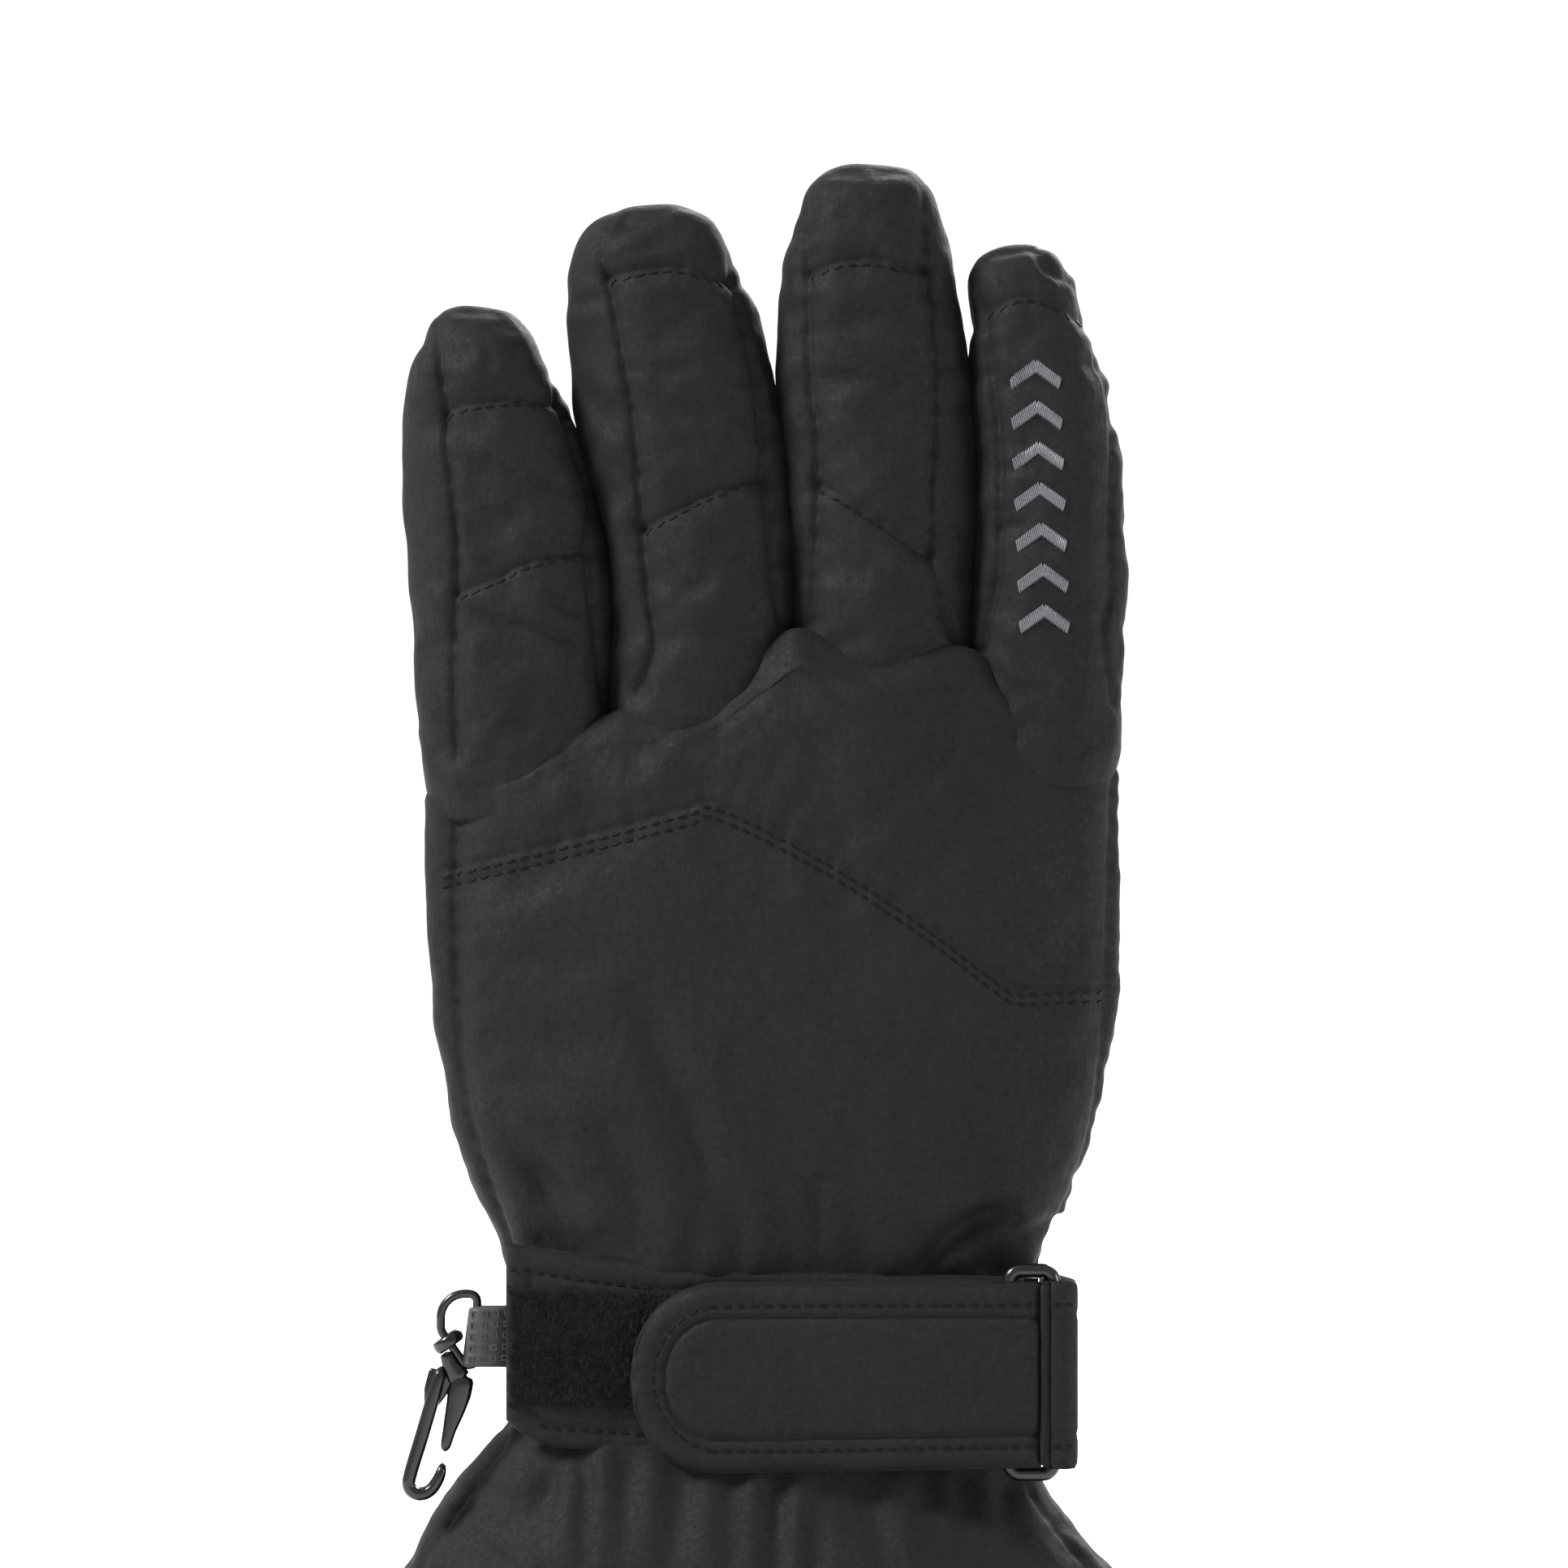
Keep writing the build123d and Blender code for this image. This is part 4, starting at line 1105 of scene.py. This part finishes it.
def tab_face(x, z, edge):
    from_top, from_bottom = (
        np.abs(z - np.interp(x, tab_xs, [place[1] for place in rim])) for rim in (tab_top, tab_bottom)
    )
    from_end = np.where(x > 20, np.minimum(from_top, from_bottom), edge)
    groove = 0.75 * np.exp(-(((from_end - TAB_BINDING) / 0.55) ** 2))
    row = 0.22 * np.exp(-(((from_end - TAB_BINDING + 2.2) / 0.6) ** 2))
    puff = 0.3 * np.clip((from_end - TAB_BINDING) / 3, 0, 1)
    worn = 0.1 * np.sin(x / 4.2 + z / 9) + 0.07 * np.sin(z / 2.1 + x / 5)
    settle = 1.0 * np.clip((12 - x) / 36, 0, 1)
    shape = TAB_FACE + 1.9 - rolled(edge, 2.3, 2.6) - puff + groove + row + settle
    return shape - worn * np.clip(edge / 2, 0, 1)


def tab_back(x):
    return -20.5 - 1.6 * np.clip((x - 34) / 5, 0, 1)


tab = band("pull_tab", TAB_LEFT, TAB_RIGHT, tab_top, tab_bottom, 0.55, tab_face, tab_back, twill)
tab_surface = surface_of(tab)
inner_rows = [
    [(x, z - TAB_BINDING + ROW_INSET) for x, z in tab_top if x > TAB_LEFT + 13],
    [(x, z + TAB_BINDING - ROW_INSET) for x, z in tab_bottom if x > TAB_LEFT + 13],
]
rows = []
for row in inner_rows:
    rows.append([row[0], row[len(row) // 3], row[2 * len(row) // 3], row[-1]])
turns = np.linspace(math.pi * 0.56, math.pi * 1.44, 16)
round_end = TAB_LEFT + TAB_HALF
rows.append([
    (round_end + ROUND_ROW * math.cos(t), TAB_MIDDLE + 0.2 + ROUND_ROW * math.sin(t)) for t in turns
])
tab_rows = stitches("pull_tab_topstitching", rows, tab_surface)
for piece in (tab, tab_rows):
    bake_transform(piece)
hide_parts("strap_tab")


# Hook tape: a moulded nylon patch sewn on the back of the tab, with rows of tiny hooks that
# grip the loops.
HOOK_PITCH = 1.3
tape_low, tape_high = (np.array(corner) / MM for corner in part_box("hook_tape"))
beads = []
for x in np.arange(tape_low[0] + 1, tape_high[0] - 0.5, HOOK_PITCH):
    for z in np.arange(tape_low[2] + 1, tape_high[2] - 0.5, HOOK_PITCH):
        spot = np.array([x, -20.05, z])
        beads.append(bead(spot, np.array([0, 1.0, 0]), np.array([1.0, 0, 0]), 0.75, 0.4, sides=4))
tape_hooks = gather_beads("tape_hooks", beads, pile_finish)
hook_top = [(tape_low[0], tape_high[2]), (tape_high[0], tape_high[2])]
hook_bottom = [(tape_low[0], tape_low[2]), (tape_high[0], tape_low[2])]
tape = band("hook_tape_patch", tape_low[0], tape_high[0], hook_top, hook_bottom, 0.8,
            lambda x, z, edge: np.full(len(x), -20.9), -20.25, pile_finish)
for piece in (tape, tape_hooks):
    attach(piece, "strap_tab")
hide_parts("hook_tape")


# Anchor: the strap's other end, folded round the ring's outer bar, stitched through, and taken
# round the forefinger edge of the wrist into the side seam.
ANCHOR_RUN = [(48.9, -21.4), (49.2, -23.0), (50.4, -23.7), (52.4, -23.6), (53.8, -22.4),
              (54.1, -20.0), (53.4, -15.0), (52.0, -9.0), (50.9, -3.0), (50.4, 3.0), (50.3, 8.5)]
ANCHOR_LOW = 63.4
ANCHOR_HIGH = 96.3
ANCHOR_PLY = 1.9

run = smooth_rows(ANCHOR_RUN, 0.5)
step = np.gradient(run, axis=0)
step /= np.linalg.norm(step, axis=1, keepdims=True)
outwards = np.column_stack([-step[:, 1], step[:, 0]])
outwards *= np.sign((outwards @ np.array([1.0, -0.6]))[:, None])


def outer_stand(edge):
    """How far the anchor's outer face stands off its run, edge mm from its rim."""
    groove = 0.45 * math.exp(-(((edge - 5.8) / 0.55) ** 2))
    return 0.5 * (float(rolled(np.array(edge), 1.0, 1.8)) - groove)


def inner_stand(edge):
    return (0.5 - ANCHOR_PLY) * float(rolled(np.array(edge), 1.0, 1.4))


rings = []
for (x, y), (out_x, out_y) in zip(run, outwards):
    ring = []
    for stand, heights in (
        (outer_stand, np.linspace(0, 1, 34)),
        (inner_stand, np.linspace(1, 0, 34)),
    ):
        for height in heights:
            thick = stand(min(height, 1 - height) * (ANCHOR_HIGH - ANCHOR_LOW))
            z = ANCHOR_LOW + (ANCHOR_HIGH - ANCHOR_LOW) * height
            ring.append((x + out_x * thick, y + out_y * thick, z))
    rings.append(ring)
anchor = tube("strap_anchor_loop", rings, twill)
anchor.data.flip_normals()
anchor_surface = surface_of(anchor)
rows = [[(49.6, z), (53.2, z)] for z in (92.2, 67.4)]
anchor_rows = stitches("anchor_topstitching", rows, anchor_surface)
for piece in (anchor, anchor_rows):
    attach(piece, "hand")
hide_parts("strap_anchor")


# Hardware: the strap ring, the D-ring, the snap hook and its gate, all injection moulded in
# black acetal, glossy, with fine scratches and slightly softer sheen where they are handled.
def acetal_look(place):
    scratches = noise(place, 900.0, 2.0, (1, 1, 0.15))
    handled = noise(place, 120.0, 3.0)
    tone = handled * 0.8 + scratches * 0.2
    return {
        "Base Color": tone.mix((0.0012, 0.0012, 0.0013), (0.0035, 0.0035, 0.0037)),
        "Roughness": 0.12 + handled * 0.2,
        "Normal": bump(scratches, 0.12, 0.00008, bump(handled, 0.04, 0.0003)),
    }


acetal = finish_of("black_acetal", acetal_look, Specular_IOR_Level=0.26)
for node in ("strap_ring", "d_ring"):
    frame["nodes"][node].data.materials.clear()
    frame["nodes"][node].data.materials.append(acetal)
    frame["nodes"][node].data.shade_smooth()


CLIP_Y = -12.0
EYE_CENTRE = (-56.3, 84.8)
EYE_LEAN = 54.8
EYE_RADIUS = 2.3
# Each moulded bar of the hook: its path, its widths along the path, and how deep it is.
HOOK_BARS = {
    "snap_hook_bar": ([(-57.3, 80.4), (-58.2, 77.4), (-60.9, 68.2), (-62.9, 61.6), (-63.2, 59.2),
                       (-61.8, 57.9), (-59.6, 58.4), (-58.0, 60.6), (-57.1, 63.4)],
                      (2.4, 2.6, 2.6, 2.5, 2.4, 2.0), 3.8),
    "snap_hook_neck": ([(-56.6, 83.0), (-55.9, 80.8), (-54.0, 77.8)], (2.4, 3.2, 4.4), 2.6),
    "snap_hook_web": ([(-57.0, 79.6), (-58.4, 76.4), (-60.2, 71.2)], (5.4, 4.0, 0.9), 1.3),
}


def rod(name, path, across, deep, finish, sides=20):
    """A moulded bar along a path in the clip's plane, oval in section, with rounded ends."""
    fine = smooth_rows(path, 0.5)
    step = np.gradient(fine, axis=0)
    step /= np.linalg.norm(step, axis=1, keepdims=True)
    out = np.column_stack([step[:, 1], -step[:, 0]])
    ends = np.linspace(-1, 1, len(fine))
    taper = np.sqrt(np.clip(1 - np.abs(ends) ** 14, 0.03, 1))
    across = np.interp(np.linspace(0, 1, len(fine)), np.linspace(0, 1, len(across)), across)
    rings = []
    for (x, z), (out_x, out_z), swell, wide in zip(fine, out, taper, across):
        turn = np.linspace(0, 2 * math.pi, sides, endpoint=False)
        c = np.sign(np.cos(turn)) * np.abs(np.cos(turn)) ** 0.75 * wide / 2 * swell
        s = np.sign(np.sin(turn)) * np.abs(np.sin(turn)) ** 0.75 * deep / 2 * swell
        rings.append(np.column_stack([x + out_x * c, CLIP_Y + s, z + out_z * c]))
    return tube(name, rings, finish)


pieces = [rod(name, *bar, acetal) for name, bar in HOOK_BARS.items()]
turns = np.linspace(0, 2 * math.pi, 40, endpoint=False)
lean = math.radians(EYE_LEAN)
up = np.array([math.sin(lean), 0, math.cos(lean)])
through = np.array([math.cos(lean), 0, -math.sin(lean)])
rings = []
for turn in np.append(turns, 2 * math.pi):
    out = up * math.cos(turn) + np.array([0, 1.0, 0]) * math.sin(turn)
    core = np.array([EYE_CENTRE[0], CLIP_Y, EYE_CENTRE[1]]) + out * EYE_RADIUS
    ring = []
    for k in range(14):
        a = 2 * math.pi * k / 14
        ring.append(core + out * (0.65 * math.cos(a)) + through * (1.15 * math.sin(a)))
    rings.append(ring)
pieces.append(tube("snap_hook_eye", rings, acetal, close_low=False, close_high=False))
for piece in pieces:
    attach(piece, "clip")
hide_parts("clip_hook")
gate = rod("snap_hook_gate", [(-53.5, 79.0), (-54.8, 73.6), (-56.0, 69.4), (-57.0, 65.3)],
           (4.2, 4.3, 3.4, 2.4, 1.8), 3.0, acetal)
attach(gate, "clip_gate")
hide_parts("clip_gate")


# Webbing: a short coated nylon strip folded round the D-ring and sewn into the strap's end. Its
# soft coating is moulded with small raised square rings.
RUBBER_DARK = (0.012, 0.0115, 0.0125)
RUBBER_LIGHT = (0.024, 0.023, 0.024)
WEB_LOW = 80.2
WEB_HIGH = 91.2
WEB_BAR_X = -51.2
WEB_WAIST_X = -48.4
WEB_SEWN_X = -44.6
WEB_LOOP = 2.1


def rubber_look(place):
    dust = noise(place, 400.0, 4.0)
    return {
        "Base Color": dust.mix(RUBBER_DARK, RUBBER_LIGHT),
        "Roughness": 0.78 - dust * 0.2,
        "Normal": bump(dust, 0.25, 0.0002),
    }


rubber = finish_of("coated_webbing", rubber_look, Specular_IOR_Level=0.35)


def squares_look(place):
    dust = noise(place, 700.0, 2.0)
    return {
        "Base Color": dust.mix((0.001, 0.001, 0.001), (0.004, 0.004, 0.004)),
        "Roughness": 0.5 + dust * 0.2,
    }


squares_finish = finish_of("dark_square_rings", squares_look)
turn = np.linspace(math.pi * 1.5, math.pi / 2, 16)
rings = []
for share in np.linspace(0, 1, 24):
    z = WEB_LOW + (WEB_HIGH - WEB_LOW) * share
    soft = float(rolled(np.array(min(share, 1 - share) * 11), 1.0, 0.8))
    loop = WEB_LOOP * soft
    outline = [(WEB_BAR_X + loop * math.cos(t), CLIP_Y - loop * math.sin(t)) for t in turn]
    outline += [(WEB_WAIST_X, CLIP_Y - 1.5 * soft), (WEB_SEWN_X, CLIP_Y - soft)]
    outline += [(WEB_SEWN_X, CLIP_Y + soft), (WEB_WAIST_X, CLIP_Y + 1.5 * soft)]
    rings.append([(x + 0.12 * (z - 85.7) * (x < -48), y, z) for x, y in outline])
webbing = tube("coated_webbing_strip", rings, rubber)
web_surface = surface_of(webbing)
points = []
faces = []
for column in range(4):
    for row in range(5):
        x = -51.9 + column * 1.95 + 0.12 * (row - 2)
        z = WEB_LOW + 1.5 + row * 2.0 + 0.1 * column
        centre, normal = drop_on(web_surface, x, z)
        if centre is None:
            continue
        base = len(points)
        for inset, lift in ((0.58, -0.05), (0.52, 0.16), (0.34, 0.16), (0.26, -0.05)):
            for right, up_by in ((-1, -1), (1, -1), (1, 1), (-1, 1)):
                points.append(centre + np.array([right * inset, -lift, up_by * inset]))
        for ring_at in range(3):
            for k in range(4):
                a = base + ring_at * 4
                faces.append((a + k, a + (k + 1) % 4, a + 4 + (k + 1) % 4, a + 4 + k))
squares = new_piece("webbing_square_rings", points, faces, squares_finish)
squares.data.shade_flat()
for piece in (webbing, squares):
    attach(piece, "hand")
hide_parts("clip_webbing")


# Embroidery: a plain column of chevrons in grey satin stitch up the forefinger, each arm filled
# with close parallel threads that lie across it.
MOTIF_X = 48.2
MOTIF_LOW = 214.0
MOTIF_PITCH = 7.2
MOTIF_COUNT = 7
ARM_REACH = 4.4
ARM_RISE = 3.2
ARM_WIDE = 2.3
SATIN_PITCH = 0.36


def satin_look(place):
    strand = noise(place, 3000.0, 1.0)
    return {
        "Base Color": strand.mix((0.015, 0.0155, 0.018), (0.055, 0.057, 0.064)),
        "Roughness": 0.5 - strand * 0.15,
        "Normal": bump(strand, 0.3, 0.0001),
    }


satin = finish_of("grey_satin_thread", satin_look, Specular_IOR_Level=0.5)
index_surface, index_along, index_bend = finger_skins["index"]
arm = math.hypot(ARM_REACH, ARM_RISE)
beads = []
for number in range(MOTIF_COUNT):
    peak_z = MOTIF_LOW + number * MOTIF_PITCH
    for side in (-1, 1):
        for place in np.arange(0.1, arm, SATIN_PITCH):
            x = MOTIF_X + 0.035 * (238 - peak_z) + side * ARM_REACH * place / arm
            z = peak_z - ARM_RISE * place / arm
            centre, normal = drop_on(index_surface, x, z)
            if centre is None:
                continue
            heading = lie_flat(np.array([0.22 * side, 0, 1.0]), normal)
            beads.append(bead(centre + normal * 0.12, heading, normal, ARM_WIDE, 0.42))
motif = gather_beads("satin_chevrons", beads, satin)
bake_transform(motif)
